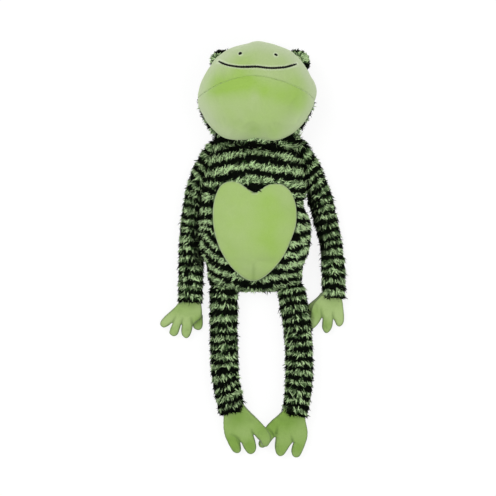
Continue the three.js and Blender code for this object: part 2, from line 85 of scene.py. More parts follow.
def makeCamera():
    data = bpy.data.cameras.new("camera")
    data.sensor_width = camera["sensor"]
    wide = camera["frameSize"] * camera["pixelSize"]
    data.lens = camera["sensor"] * (camera["height"] - camera["sharpHeight"]) / wide
    data.clip_end = camera["far"]
    made = addObject("camera", data)
    made.location = (*middleOfView(), camera["height"])
    bpy.context.scene.camera = made


# Shader helpers

class Wire:
    # a shader socket that Python's operators work on
    def __init__(self, sheet, socket):
        self.sheet, self.socket = sheet, socket

    def work(self, operation, *values):
        return self.sheet.node("ShaderNodeMath", {"operation": operation}, values)

    def __add__(self, other):
        return self.work("ADD", self, other)

    def __sub__(self, other):
        return self.work("SUBTRACT", self, other)

    def __rsub__(self, other):
        return self.work("SUBTRACT", other, self)

    def __mul__(self, other):
        return self.work("MULTIPLY", self, other)

    def __pow__(self, other):
        return self.work("POWER", self, other)

    __radd__, __rmul__ = __add__, __mul__

    # another output of the same node
    def beside(self, output):
        return Wire(self.sheet, self.socket.node.outputs[output])


class Finish:
    # a material and its nodes
    def __init__(self, name, **sockets):
        self.material = bpy.data.materials.new(name)
        self.material.use_nodes = True
        self.tree = self.material.node_tree
        self.tree.nodes.clear()
        self.shader = self.tree.nodes.new("ShaderNodeBsdfPrincipled")
        output = self.tree.nodes.new("ShaderNodeOutputMaterial")
        self.tree.links.new(self.shader.outputs[0], output.inputs[0])
        self.set(**sockets)

    def put(self, socket, value):
        if isinstance(value, Wire):
            self.tree.links.new(value.socket, socket)
        elif hasattr(value, "__len__") and len(value) == 3 and len(socket.default_value) == 4:
            socket.default_value = (*value, 1)
        else:
            socket.default_value = value

    # The shader's own sockets, by their names without spaces.
    def set(self, **sockets):
        plain = {socket.name.replace(" ", ""): socket for socket in self.shader.inputs}
        for name, value in sockets.items():
            self.put(plain[name], value)

    # Any node: its type, its settings, then the values or links of its sockets.
    def node(self, kind, settings=None, inputs=(), output=0):
        made = self.tree.nodes.new(kind)
        for key, value in (settings or {}).items():
            setattr(made, key, value)
        pairs = inputs.items() if isinstance(inputs, dict) else enumerate(inputs)
        for key, value in pairs:
            self.put(made.inputs[key], value)
        return Wire(self, made.outputs[output])

    def place(self):
        return self.node("ShaderNodeTexCoord", output="Object")

    def attribute(self, name, output="Fac"):
        return self.node("ShaderNodeAttribute", {"attribute_name": name}, output=output)

    def noise(self, where, scale, detail=2.0, rough=0.5):
        return self.node("ShaderNodeTexNoise", None,
                         {"Vector": where, "Scale": scale, "Detail": detail, "Roughness": rough})

    # The sockets of the node for colours have no names of their own, so they go by number.
    def blendColours(self, share, first, second, mode="MIX"):
        return self.node("ShaderNodeMix", {"data_type": "RGBA", "blend_type": mode},
                         {0: share, 6: first, 7: second}, output=2)

    def bump(self, height, strength, distance):
        normal = self.node("ShaderNodeBump", None,
                           {"Strength": strength, "Distance": distance, "Height": height})
        self.set(Normal=normal)


# Surface helpers

tiny = 1e-12  # keeps a division from failing


# A table's column at places along its first one: cubic spans whose slopes are those of the rows beside.
def alongTable(rows, at, column=1):
    rows = np.asarray(rows, float)
    x, y = rows[:, 0], rows[:, column]
    slope = np.gradient(y, x)
    at = np.clip(at, x[0], x[-1])
    i = np.clip(np.searchsorted(x, at) - 1, 0, len(x) - 2)
    step = x[i + 1] - x[i]
    f = (at - x[i]) / step
    return ((1 + 2 * f) * (1 - f) ** 2 * y[i] + f * (1 - f) ** 2 * step * slope[i]
            + f * f * (3 - 2 * f) * y[i + 1] + f * f * (f - 1) * step * slope[i + 1])


# How far along a line each of its points lies.
def lengthAlong(points):
    return np.concatenate([[0], np.cumsum(np.linalg.norm(np.diff(points, axis=0), axis=1))])


# A profile's three columns at even steps of its curve, in which the second column counts for less.
def walkedProfile(rows, levels, weight):
    rows = np.array(rows)
    gone = lengthAlong(rows[:, :2] * [1, weight])
    walk = np.linspace(0, gone[-1], levels + 2)[1:-1]
    table = np.column_stack([gone, rows])
    return [alongTable(table, walk, column) for column in (1, 2, 3)]


# A smooth line through points, at even steps: on each span a cubic whose end slopes are half the
# step between the neighbours.
def smoothLine(points, count, closed=False, perSpan=24):
    p = np.asarray(points, float)
    if closed:
        p = np.concatenate([p[-1:], p, p[:2]])
    else:
        p = np.concatenate([2 * p[:1] - p[1:2], p, 2 * p[-1:] - p[-2:-1]])
    spans = len(p) - 3
    t = np.linspace(0, spans, spans * perSpan + 1)
    i = np.minimum(t.astype(int), spans - 1)
    f = (t - i)[:, None]
    a, b, c, d = p[i], p[i + 1], p[i + 2], p[i + 3]
    fine = 0.5 * (2 * b + (c - a) * f + (2 * a - 5 * b + 4 * c - d) * f**2
                  + (3 * b - a - 3 * c + d) * f**3)
    gone = lengthAlong(fine)
    at = np.linspace(0, gone[-1], count, endpoint=not closed)
    return np.stack([np.interp(at, gone, fine[:, k]) for k in range(p.shape[1])], 1)


# The distance of every point from every stretch of a line, each from a start to an end.
def stretchGaps(points, starts, ends):
    p = points[:, None, : starts.shape[1]]
    along = ends - starts
    t = np.clip(((p - starts) * along).sum(-1) / (along**2).sum(-1), 0, 1)
    return np.sqrt((((starts + along * t[..., None]) - p) ** 2).sum(-1))


# The distance of points from a line.
def awayFrom(points, line):
    return stretchGaps(points, line[:-1], line[1:]).min(1)


# The distance of points from an outline in the XY plane, positive inside it. A point is inside if a
# ray from it towards +X crosses the outline an odd number of times.
def insideBy(points, outline):
    a, b = outline, np.roll(outline, -1, 0)
    away = stretchGaps(points, a, b).min(1)
    x, y = points[:, None, 0], points[:, None, 1]
    along = b - a
    crosses = (a[:, 1] > y) != (b[:, 1] > y)
    meets = a[:, 0] + (y - a[:, 1]) * along[:, 0] / np.where(along[:, 1] == 0, tiny, along[:, 1])
    inside = (crosses & (x < meets)).sum(1) % 2 == 1
    return np.where(inside, away, -away)


# A wavy value from about -1 to 1: the sum of sines of different headings, whose waves are about as
# long as the given length.
def waves(points, length, seed, count=7):
    rng = np.random.default_rng(seed)
    headings = rng.normal(size=(count, points.shape[1]))
    headings /= np.linalg.norm(headings, axis=1)[:, None]
    headings *= 2 * np.pi / length * rng.uniform(0.6, 1.5, (count, 1))
    return np.sin(points @ headings.T + rng.uniform(0, 2 * np.pi, count)).sum(1) / count**0.5 / 1.2


def unit(vectors):
    return vectors / np.maximum(np.linalg.norm(vectors, axis=-1, keepdims=True), tiny)


# A step from 0 to 1 between two values, with soft ends.
def softStep(value, low, high):
    t = np.clip((value - low) / (high - low), 0, 1)
    return t * t * (3 - 2 * t)


# A soft hill of some height round zero, which is nearly flat again at twice its width.
def bell(value, width, height=1.0):
    return height * np.exp(-((value / width) ** 2))


# The sum of soft round patches, each given as its pixel, its width in pixels and its height.
def patches(points, rows, level):
    total = np.zeros(len(points))
    for pixel, width, height in rows:
        gap = np.hypot(*(points[:, :2] - onRay(pixel, level)).T)
        total += bell(gap, width * camera["pixelSize"], height)
    return total


# The cosine and sine at even steps round a circle.
def circle(count):
    turn = 2 * np.pi * np.arange(count) / count
    return np.cos(turn), np.sin(turn)


# Pushes a circle's values out towards a square's, where the power is under 1.
def squared(value, power):
    return np.sign(value) * np.abs(value) ** power


# Triangles round a stack of rings, with a pole before the first and after the last.
def ringedFaces(rings, around):
    step = np.arange(around)
    after = (step + 1) % around
    low = (1 + np.arange(rings - 1) * around)[:, None]
    high = low + around
    sides = [np.stack([low + step, high + step, high + after], -1),
             np.stack([low + step, high + after, low + after], -1)]
    end = 1 + rings * around
    last = 1 + (rings - 1) * around
    poles = [np.stack([np.zeros(around, int), 1 + step, 1 + after], -1),
             np.stack([np.full(around, end), last + after, last + step], -1)]
    return np.concatenate([s.reshape(-1, 3) for s in sides] + poles)


# Rings of points and two poles as a closed surface with its faces out.
def ringedForm(start, rings, end):
    points = np.concatenate([[start], rings.reshape(-1, 3), [end]])
    return points, facedOut(points, ringedFaces(*rings.shape[:2]))


# Faces turned out, by the sign of the volume that they enclose.
def facedOut(points, faces):
    a, b, c = (points[faces[:, k]] for k in range(3))
    volume = (np.cross(a, b) * c).sum()
    return faces if volume > 0 else faces[:, ::-1]


# The mean of the normals of the faces round each point, by their areas.
def normalsOf(points, faces):
    a, b, c = (points[faces[:, k], :3] for k in range(3))
    across = np.cross(b - a, c - a)
    sums = np.stack([
        np.bincount(faces.ravel(), np.repeat(across[:, k], 3), len(points)) for k in range(3)], 1)
    return unit(sums)


# The edges of triangles as pairs of points, each edge once for each triangle.
def edgesOf(faces):
    return np.concatenate([faces[:, [0, 1]], faces[:, [1, 2]], faces[:, [2, 0]]])


def bothWays(pairs):
    return np.concatenate([pairs, pairs[:, ::-1]])


# The part of a surface where a field is positive. Its rim is moved along the edges to where the field
# is zero.
def trimmed(points, faces, field):
    inside = field > 0
    faces = faces[inside[faces].any(1)]
    pairs = bothWays(edgesOf(faces))
    a, b = pairs[inside[pairs[:, 0]] & ~inside[pairs[:, 1]]].T
    share = (field[a] / (field[a] - field[b]))[:, None]
    target = points[a] + (points[b] - points[a]) * share
    met = np.bincount(b, minlength=len(points))
    moved = points.copy()
    for k in range(points.shape[1]):
        total = np.bincount(b, target[:, k], len(points))
        moved[met > 0, k] = total[met > 0] / met[met > 0]
    used, places = np.unique(faces, return_inverse=True)
    return moved[used], places.reshape(-1, 3)


# The rings of a unit ball from its top down, without the poles.
def ballRings(around, levels, power=1.0):
    cos, sin = circle(around)
    dip = np.linspace(0, np.pi, levels + 2)[1:-1][:, None]
    return [np.sin(dip) * squared(cos, power), np.sin(dip) * sin, np.cos(dip) * np.ones(around)]


# A ball, or an oval one where half is three sizes. A power under 1 makes it squarer in X.
def ballForm(centre, half, around=72, levels=48, power=1.0):
    half = np.broadcast_to(half, 3)
    pole = [0, 0, half[2]]
    rings = centre + half * np.stack(ballRings(around, levels, power), -1)
    return ringedForm(centre + pole, rings, centre - pole)


# A mesh with its values at the points, on its body. Its slot is not used.
def makePiece(name, points, faces, finish, body, slot, values=None, smooth=True):
    mesh = bpy.data.meshes.new(name)
    mesh.vertices.add(len(points))
    mesh.vertices.foreach_set("co", np.ascontiguousarray(points[:, :3], np.float32).ravel())
    mesh.loops.add(faces.size)
    mesh.loops.foreach_set("vertex_index", np.ascontiguousarray(faces, np.int32).ravel())
    mesh.polygons.add(len(faces))
    mesh.polygons.foreach_set("loop_start", np.arange(0, faces.size, 3, dtype=np.int32))
    mesh.polygons.foreach_set("use_smooth", np.full(len(faces), smooth))
    mesh.update(calc_edges=True)
    mesh.validate()
    for key, value in (values or {}).items():
        flat = value.ndim == 1
        layer = mesh.attributes.new(key, "FLOAT" if flat else "FLOAT_VECTOR", "POINT")
        layer.data.foreach_set("value" if flat else "vector", value.astype(np.float32).ravel())
    mesh.materials.append(finish.material)
    made = addObject(name, mesh)
    if body:
        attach(made, body)
    return made


# A cloth with its wall, in the place of CAD nodes. Its fill is not used.
def makeCloth(name, points, faces, finish, body, slot, values, wall, fill, *nodes):
    piece = makePiece(name, points, faces, finish, body, slot, values)
    if wall:
        solid = piece.modifiers.new("cloth", "SOLIDIFY")
        solid.thickness, solid.offset = wall, -1
    if nodes:
        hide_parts(*nodes)
    return piece


# Padding: a stuffed cloth is let out a little and pressed from inside, with its seams and stitches held

padding = {
    "pressure": 2.0,
    "pointMass": 0.05,
    "tension": 15.0,
    "shear": 5.0,
    "bending": 0.5,
    "frames": 16,
    "quality": 5,
    # how far each cloth is let out, and the furthest that a point moves
    "face": (0.016, 0.8 * mm),
    "heart": (0.006, 0.8 * mm),
    "glove": (0.03, 1.4 * mm),
}


# The points on a surface's open edges, which are the edges of one face only.
def openRim(faces, count):
    pairs = np.sort(edgesOf(faces), axis=1)
    codes, times = np.unique(pairs[:, 0] * count + pairs[:, 1], return_counts=True)
    lone = codes[times == 1]
    rim = np.zeros(count, bool)
    rim[lone // count] = rim[lone % count] = True
    return rim


# The cloth's places after a short simulation. No point moves further than its kind's limit.
def pressedCloth(points, faces, sewn, kind):
    slack, mostMove = padding[kind]
    held = openRim(faces, len(points)) | sewn
    mesh = bpy.data.meshes.new("pressed")
    mesh.from_pydata(points[:, :3].tolist(), [], faces.tolist())
    trial = addObject("pressed", mesh)
    trial.vertex_groups.new(name="held").add(np.flatnonzero(held).tolist(), 1.0, "REPLACE")
    cloth = trial.modifiers.new("cloth", "CLOTH")
    settings = cloth.settings
    settings.vertex_group_mass = "held"
    settings.quality = padding["quality"]
    settings.mass = padding["pointMass"]
    settings.tension_stiffness = settings.compression_stiffness = padding["tension"]
    settings.shear_stiffness = padding["shear"]
    settings.bending_stiffness = padding["bending"]
    settings.shrink_min = -slack
    settings.use_pressure = True
    settings.uniform_pressure_force = padding["pressure"]
    settings.effector_weights.gravity = 0
    cloth.collision_settings.use_collision = False
    for step in range(1, padding["frames"] + 1):
        bpy.context.scene.frame_set(step)
    found = np.empty(len(points) * 3, np.float32)
    trial.evaluated_get(bpy.context.evaluated_depsgraph_get()).data.vertices.foreach_get("co", found)
    bpy.data.objects.remove(trial)
    bpy.data.meshes.remove(mesh)
    bpy.context.scene.frame_set(1)
    move = found.reshape(-1, 3) - points[:, :3]
    reach = np.linalg.norm(move, axis=1)[:, None]
    moved = points.copy()
    moved[:, :3] += move / np.sqrt(1 + (reach / mostMove) ** 2)
    print("pressed", len(points), "points by up to", round(float(reach.max() / mm), 2), "mm")
    return moved


# Striped pile

pile = {
    "length": 7.6 * mm,
    "spread": (0.95, 0.22),  # the strands' mean share of the length, and how much it varies
    "shares": (0.5, 1.5),  # the least and the most
    "tuft": 0.25,  # how much the length varies from tuft to tuft
    "tuftSize": 6 * mm,
    "paleShare": 0.32,  # of the strands
    "paleExtra": 0.18,  # of the length
    "width": 1.95 * mm,
    "widthRange": (0.75, 1.25),
    "taper": 0.9,  # the middle's width, of the root's
    "sunk": 0.6 * mm,
    "rise": 0.66,  # of a strand's first half, along the cloth's normal
    "riseSpread": 0.13,
    "droop": 0.34,  # of its second half
    "droopSpread": 0.16,
    "stray": 0.62,  # radians, to either side of the combed way
    "floorGap": (0.25 * mm, 0.2 * mm),  # the least height of a strand, and its spread
    "ragged": (1.6 * mm, 5 * mm, 0.6 * mm),  # the bands' edges: tufts' shift, their size and strands' shift
    "clump": (0.12, 7 * mm),  # of the shade, and its size
    "waveCount": 24,
    "shadePale": (0.85, 1.25),
    "shadeOther": (0.0, 0.36),
    "middleAlong": 0.62,  # of the colour's way from root to tip, at the middle
    "skin": (0.22, 0.3),  # that way and the shade, for the cloth under the pile, which is as dark as the roots: painted shade
    "even": 0.8,  # how much the light falls as on the cloth
    # dark roots that pale towards the tips: painted shade among the strands
    "rootBlack": (0.0015, 0.002, 0.0015),
    "tipBlack": (0.005, 0.007, 0.004),
    "rootGreen": (0.010, 0.021, 0.007),
    "tipGreen": (0.70, 0.96, 0.49),
    "deepGreen": (0.036, 0.088, 0.022),
}


# The attribute fibre holds a strand's greenness, the way along it and its shade. Along it the colour pales
# from root to tip: painted shade, deepest at the cloth.
def pileFinish():
    finish = Finish("stripedPile", Roughness=0.9, SpecularIORLevel=0.03)
    fibre = finish.attribute("fibre", "Vector")
    green = finish.node("ShaderNodeSeparateXYZ", None, [fibre])
    along, shade = green.beside(1), green.beside(2)
    tip = finish.blendColours(shade, pile["deepGreen"], pile["tipGreen"])
    # painted shade: green and black strands darken towards their roots
    leaf = finish.blendColours(along ** 0.5, pile["rootGreen"], tip)
    dark = finish.blendColours(along, pile["rootBlack"], pile["tipBlack"])
    finish.set(BaseColor=finish.blendColours(green, dark, leaf))
    return finish


# Roots for strands, spread evenly over a surface by its faces' areas, which a weight can lessen.
def rootsOn(points, faces, normals, density, rng, weight=None):
    a, b, c = (points[faces[:, k], :3] for k in range(3))
    area = np.linalg.norm(np.cross(b - a, c - a), axis=1) / 2
    if weight is not None:
        area = area * weight[faces].mean(1)
    total = np.cumsum(area)
    count = int(total[-1] / mm**2 * density)
    at = (np.arange(count) + rng.random(count)) / count * total[-1]
    face = faces[np.minimum(np.searchsorted(total, at), len(faces) - 1)]
    u, v = rng.random((2, count))
    over = u + v > 1
    u, v = np.where(over, 1 - u, u), np.where(over, 1 - v, v)
    shares = np.stack([1 - u - v, u, v], 1)[..., None]
    return (points[face] * shares).sum(1), unit((normals[face] * shares).sum(1))


strandFaces = np.array(
    [[0, 2, 1]] + [t for k in range(3) for t in (
        [k, (k + 1) % 3, 3 + (k + 1) % 3], [k, 3 + (k + 1) % 3, 3 + k], [3 + k, 3 + (k + 1) % 3, 6])])


# Each strand is a bent three-sided spike: a ring at its root, a ring at its middle and a tip. Each half
# rises by its own share and leans for the rest, strayed to a side from the way that the pile is combed.
def strands(roots, normals, combed, lengths, look, rng):
    count = len(roots)
    flat = unit(combed - normals * (combed * normals).sum(1)[:, None])
    side = np.cross(normals, flat)
    turn = rng.normal(0, look["stray"], count)[:, None]
    lean = flat * np.cos(turn) + side * np.sin(turn)
    rises = (look["rise"] + rng.normal(0, look["riseSpread"], count))[:, None]
    droops = (look["droop"] + rng.normal(0, look["droopSpread"], count))[:, None]
    first, second = (unit(normals * up + lean * np.sqrt(np.clip(1 - up**2, 0.05, 1)))
                     for up in (rises, droops))
    middle = roots + first * lengths[:, None] * 0.5
    tip = middle + second * lengths[:, None] * 0.5
    across = unit(np.cross(first, normals + 0.01))
    over = np.cross(first, across)
    cos, sin = circle(3)
    ring = across[:, None] * cos[:, None] + over[:, None] * sin[:, None]
    wide = (look["width"] * rng.uniform(*look["widthRange"], count) / 2)[:, None, None]
    bottom = roots[:, None] - normals[:, None] * look["sunk"] + ring * wide
    waist = middle[:, None] + ring * wide * look["taper"]
    return np.concatenate([bottom, waist, tip[:, None]], 1)


# A map with a small square of its own for each strand, for the colours to be baked into: the root's
# triangle at its foot, and over it three sides of two triangles and a point.
def strandMap(mesh, count):
    across = int(np.ceil(count**0.5))
    cell = np.stack([np.arange(count) % across, np.arange(count) // across], 1)[:, None, None]
    corners = [[[0.1, 0.02], [0.5, 0.10], [0.9, 0.02]]]
    low, high, top = 0.12, 0.52, 0.95
    for k in range(3):
        left, right = 0.05 + 0.3 * k, 0.05 + 0.3 * (k + 1)
        corners += [[[left, low], [right, low], [right, high]], [[left, low], [right, high], [left, high]],
                    [[left, high], [right, high], [(left + right) / 2, top]]]
    uv = (cell + np.array(corners)[None]) / across
    layer = mesh.uv_layers.new(name="OFBake")
    layer.data.foreach_set("uv", uv.astype(np.float32).ravel())


# Grows strands on a skin. A fourth column of the skin's points scales their length, and own values
# stand in for the pile's.
def growPile(name, body, skin, comb, stripe, density, seed, weight=None, **own):
    look = {**pile, **own}
    points, faces = skin
    rng = np.random.default_rng(seed)
    roots, up = rootsOn(points, faces, normalsOf(points, faces), density, rng, weight)
    base, count = roots[:, :3], len(roots)
    tuft = waves(base, look["tuftSize"], seed + 80, look["waveCount"])
    pale = rng.random(count) < look["paleShare"]
    shares = rng.normal(*look["spread"], count).clip(*look["shares"])
    lengths = look["length"] * (shares + look["tuft"] * tuft + look["paleExtra"] * pale)
    if points.shape[1] > 3:
        lengths = lengths * roots[:, 3]
    made = strands(base, up, comb(base), lengths, look, rng)
    least, more = look["floorGap"]
    made[..., 2] = np.maximum(made[..., 2], least + more * rng.random(count)[:, None])
    seen = made[:, 3:6].mean(1)
    shift, size, stray = look["ragged"]
    seen[:, 1] += shift * waves(base, size, seed + 90, look["waveCount"]) + rng.normal(0, stray, count)
    clump, size = look["clump"]
    shade = np.where(pale, rng.uniform(*look["shadePale"], count), rng.uniform(*look["shadeOther"], count))
    fibre = np.empty((count, 7, 3))
    fibre[..., 0] = np.clip(stripe(seen), 0, 1)[:, None]
    fibre[..., 1] = [0] * 3 + [look["middleAlong"]] * 3 + [1]
    fibre[..., 2] = np.clip(shade + clump * waves(base, size, seed + 50, look["waveCount"]), 0, 1)[:, None]
    every = (strandFaces + np.arange(count)[:, None, None] * 7).reshape(-1, 3)
    places = made.reshape(-1, 3)
    piece = makePiece(name, places, every, finishes["pile"], body, "striped_plush",
                      {"fibre": fibre.reshape(-1, 3)})
    strandMap(piece.data, count)
    # light falls on the strands much as on the cloth that they stand on
    shading = unit(normalsOf(places, every) * (1 - look["even"]) + np.repeat(up, 7, 0) * look["even"])
    piece.data.normals_split_custom_set_from_vertices(shading)
    print("pile", name, len(every))
    return piece


# Colours the cloth under the pile as the pile's roots are, dark with the same painted shade.
def skinValues(points, stripe):
    green = np.clip(stripe(points[:, :3]), 0, 1)
    return {"fibre": np.column_stack([green, *(np.full(len(points), value) for value in pile["skin"])])}


# Stripes: bands that follow their rows in the photograph and wander a little

stripes = {
    "greenShare": 0.45,  # of a band and the gap beside it
    "edge": 0.05,
    "wander": [(1.0 * mm, 12 * mm), (1.3 * mm, 40 * mm)],  # how far the bands wander, over which length
    "rowLevel": 30 * mm,  # the height at which the rows are seen
    "spareRows": 12,  # past the first and the last row
}


# Turns a wave that is dark at whole numbers into bands with short soft edges.
def bands(phase, share=stripes["greenShare"]):
    wave = -np.cos(2 * np.pi * phase)
    edge = np.cos(np.pi * share)
    return softStep(wave, edge - stripes["edge"], edge + stripes["edge"])


# Small and large wanderings of the bands, which no two stretches of the cloth share.
def wander(points, seed):
    return sum(far * waves(points, length, seed + k) for k, (far, length) in enumerate(stripes["wander"]))


# The number of the dark band at a place, from a list of their pixel rows.
def bandAt(y, rows):
    at = onRay([(camera["originPixel"][0], row) for row in rows], stripes["rowLevel"])[:, 1]
    step = np.diff(at)
    spare = np.arange(1, stripes["spareRows"] + 1)
    at = np.concatenate([at[0] - step[0] * spare[::-1], at, at[-1] + step[-1] * spare])
    return np.interp(-y, -at, np.arange(len(at)))


# Short-napped cloth

velboa = {
    "pale": (0.452, 0.556, 0.284),
    "brushed": (0.66, 0.75, 0.52),  # painted sheen: the pale colour painted where the nap catches the light
    "vivid": (0.322, 0.518, 0.088),
    "seam": (0.20, 0.33, 0.07),
    "drift": 0.5,
    "driftScale": 38.0,
    "grain": 0.16,
    "grainShare": 0.9,
    "napScale": 900.0,
    "napBump": (0.25, 0.4 * mm),
    "sheen": (0.93, 1.0, 0.80),
    "handPale": (0.402, 0.545, 0.208),
    "handVivid": (0.215, 0.370, 0.062),
    # the hands' and feet's dark colour for the seam line, and for painted shade at the rim and in the creases
    "handSeam": (0.085, 0.150, 0.035),
}


# The attribute vivid says where the cloth is strong green, the second attribute where a painted sheen pales
# it as if its nap caught the light, and seam where it is sewn; on hands and feet seam also holds painted
# shade.
def velboaFinish(name, pale, vivid, seam):
    finish = Finish(name, Roughness=0.9, SheenWeight=0.55, SheenRoughness=0.4, SheenTint=velboa["sheen"])
    where = finish.place()
    drift = finish.noise(where, velboa["driftScale"], 3.0, 0.55)
    nap = finish.noise(where, velboa["napScale"], 2.0, 0.7)
    share = finish.attribute("vivid") + (drift - 0.5) * velboa["drift"]
    cloth = finish.blendColours(finish.node("ShaderNodeClamp", None, [share]), pale, vivid)
    # painted sheen: paler where the attribute says the nap catches the light
    cloth = finish.blendColours(finish.attribute("brushed"), cloth, velboa["brushed"])
    grain = finish.blendColours((nap - 0.5) * velboa["grain"] + 0.5, (0.0, 0.0, 0.0), (1.0, 1.0, 1.0))
    cloth = finish.blendColours(velboa["grainShare"], cloth, grain, "OVERLAY")
    finish.set(BaseColor=finish.blendColours(finish.attribute("seam"), cloth, seam))
    finish.bump(nap, *velboa["napBump"])
    return finish


thread = {
    "dark": (0.002, 0.002, 0.002),
    "light": (0.012, 0.012, 0.010),
    "twistScale": 700.0,
    "bump": (0.4, 0.3 * mm),
}


def threadFinish():
    finish = Finish("blackThread", Roughness=0.8, SpecularIORLevel=0.2)
    twist = finish.noise(finish.place(), thread["twistScale"])
    finish.set(BaseColor=finish.blendColours(twist, thread["dark"], thread["light"]))
    finish.bump(twist, *thread["bump"])
    return finish


finishes = {
    "pile": pileFinish(),
    "velboa": velboaFinish("faceVelboa", velboa["pale"], velboa["vivid"], velboa["seam"]),
    "glove": velboaFinish("gloveVelboa", velboa["handPale"], velboa["handVivid"], velboa["handSeam"]),
    "thread": threadFinish(),
}


# Stitches: the line of the mouth and two satin-stitched nostrils

stitches = {
    "level": 90 * mm,  # the height at which they are seen
    "mouth": [(218.8, 61.2), (223.5, 63.9), (229.4, 65.9), (237.0, 67.2), (244.3, 67.6), (256.3, 67.4),
              (264.0, 68.3), (271.8, 68.8), (283.3, 67.9), (290.0, 66.3), (296.2, 64.0)],
    "mouthWidth": 2.9 * mm,
    "mouthEnd": 0.6,  # of the width
    "mouthSunk": 0.25 * mm,
    "mouthTaper": 0.05,  # of the line's length, at each end
    "mouthTwists": 240 / 7,
    "twistDepth": 0.10,
    "mouthUneven": (0.07, 0.05),  # of the width, and over which share of the line
    "nostrils": {"right": [(240.2, 53.7), 0.75], "left": [(275.7, 55.3), -0.6]},  # pixel and slant
    "nostrilSize": (5.2 * mm, 4.2 * mm, 2.6 * mm),
    "nostrilFacing": (0, 0.42, 0.9),
    "nostrilRidges": 5,
    "ridgeDepth": 0.12,
}


# Head: an egg whose outline seen from above is narrow at the crown and square at the chin

head = {
    "middle": (257.0, 90.0),
    "height": 114.5 * mm,
    "level": 60 * mm,  # the height at which the outline is seen
    "sunk": 0.5 * mm,  # the lowest point, under the floor
    "outline": [(256.3, 41.3), (265.8, 42.8), (275.3, 45.3), (290.2, 51.1), (297.1, 57.4), (304.6, 66.2),
                (310.4, 75.3), (314.6, 83.6), (316.2, 91.5), (314.9, 99.5), (312.0, 108.0), (307.4, 117.1),
                (301.0, 126.0), (294.0, 133.4), (284.5, 139.2), (273.0, 142.2), (257.0, 141.0),
                (242.0, 141.8), (229.0, 140.8), (220.0, 136.8), (209.8, 126.3), (203.0, 114.8),
                (198.9, 104.5), (198.1, 95.3), (200.6, 84.6), (204.5, 75.6), (211.2, 64.3), (217.9, 57.4),
                (229.4, 49.4), (244.3, 44.2)],
    "profileWeight": 0.7,
    "profile": [  # height, spread, shift towards the crown
        [0.0, 0.0, 0.0], [0.01, 0.25, 0.0], [0.04, 0.47, 0.0], [0.1, 0.67, 0.0], [0.18, 0.80, 0.0],
        [0.3, 0.91, 0.0], [0.42, 0.97, 0.0], [0.53, 1.0, 0.0], [0.64, 0.975, 0.01], [0.75, 0.89, 0.03],
        [0.85, 0.745, 0.06], [0.93, 0.54, 0.09], [0.98, 0.3, 0.11], [1.0, 0.0, 0.12]],
    "seamHeight": 47 * mm,
    "seamTilt": 18,
    "archLevel": 95 * mm,
    "arch": [(196.0, 99.0), (205.0, 91.5), (215.6, 85.5), (229.4, 80.4), (244.3, 76.9), (255.0, 76.2),
             (267.2, 77.7), (283.3, 81.8), (294.8, 86.3), (306.3, 92.0), (312.0, 96.5), (319.0, 103.0)],
    "crown": 68 * mm,
    "stripe": (15.5 * mm, 0.25, 2.5 * mm, 50 * mm),  # distance, lean with height, wandering and its length
    "back": 3.2 * mm,  # the skin under the pile, from the outline
    "overlap": 2 * mm,  # how far the skin runs on under the face
    "pileEdge": (-1.0 * mm, 0.5 * mm),
    "pile": {"density": 0.82, "seed": 11, "rise": 0.86, "droop": 0.7},
    "combLevel": 50 * mm,
    "comb": (0.6, 0.6, 0.2),
    # the pile's length at the crown, how much longer it is by the chin, from where and over which stretch
    "fringe": (0.7, 0.36),
    "fringeFrom": (257.0, 97.0),
    "fringeReach": (-6 * mm, 8 * mm),
    # each face panel's side of the arch, its strong green and how much of the patches it has
    "panels": {"face_upper": (-1, 0.3, 0.8), "chin_panel": (1, 0.5, 1.0)},
    "patches": [((230, 84), 11, 0.5), ((247, 82), 11, 0.5), ((264, 92), 9, 0.4), ((281, 97), 9, 0.35),
                ((299, 98), 12, 0.5), ((217, 88), 10, 0.4), ((304, 110), 10, 0.3), ((255, 134), 8, 0.45),
                ((243, 61), 11, 0.45), ((213, 80), 10, 0.75), ((296, 80), 9, 0.35), ((207, 112), 14, -0.35),
                ((240, 110), 12, -0.12), ((255, 98), 6, -0.25), ((291, 122), 9, -0.1), ((238, 74), 8, 0.25),
                ((274, 137), 9, 0.4), ((226, 134), 8, -0.3)],
    "dimple": (253.5, 133.0),
    "chin": (257.0, 137.0),
    "chinLevel": 70 * mm,
    "dimpleSize": (9 * mm, 7 * mm),
    # grooves by their width and depth
    "dimpleDepth": 2.6 * mm,
    "archGroove": (1.5 * mm, 0.5 * mm),
    "rimGroove": (2.2 * mm, 1.4 * mm),
    "mouthGroove": (1.3 * mm, 0.6 * mm),
    "uneven": (0.5 * mm, 38 * mm),
    # painted sheen: on the sloping sides, more of it by the chin, and as a painted highlight in a pale rim
    # round the stitches
    "brushedSide": (0.34, 0.16),
    "sideSlope": (0.05, 0.6),
    "chinRise": 24 * mm,
    "mouthRim": (2.1 * mm, 0.9 * mm, 0.75),
    "nostrilRim": (2.6 * mm, 0.9 * mm, 0.7),
    # the arch's seam: its width and strength, its stitches' length and where it fades to the sides
    "archSeam": (0.6 * mm, 0.34),
    "stitchLength": 0.55 * mm,
    "stitchDepth": 0.4,
    "seamFade": (22 * mm, 56 * mm, 0.6),
    # held where the cloth is sewn down
    "heldMouth": 2.4 * mm,
    "heldNostril": 4 * mm,
    "heldDimple": 0.6,
    "wall": 1.2 * mm,
    "fill": 0.8,
}


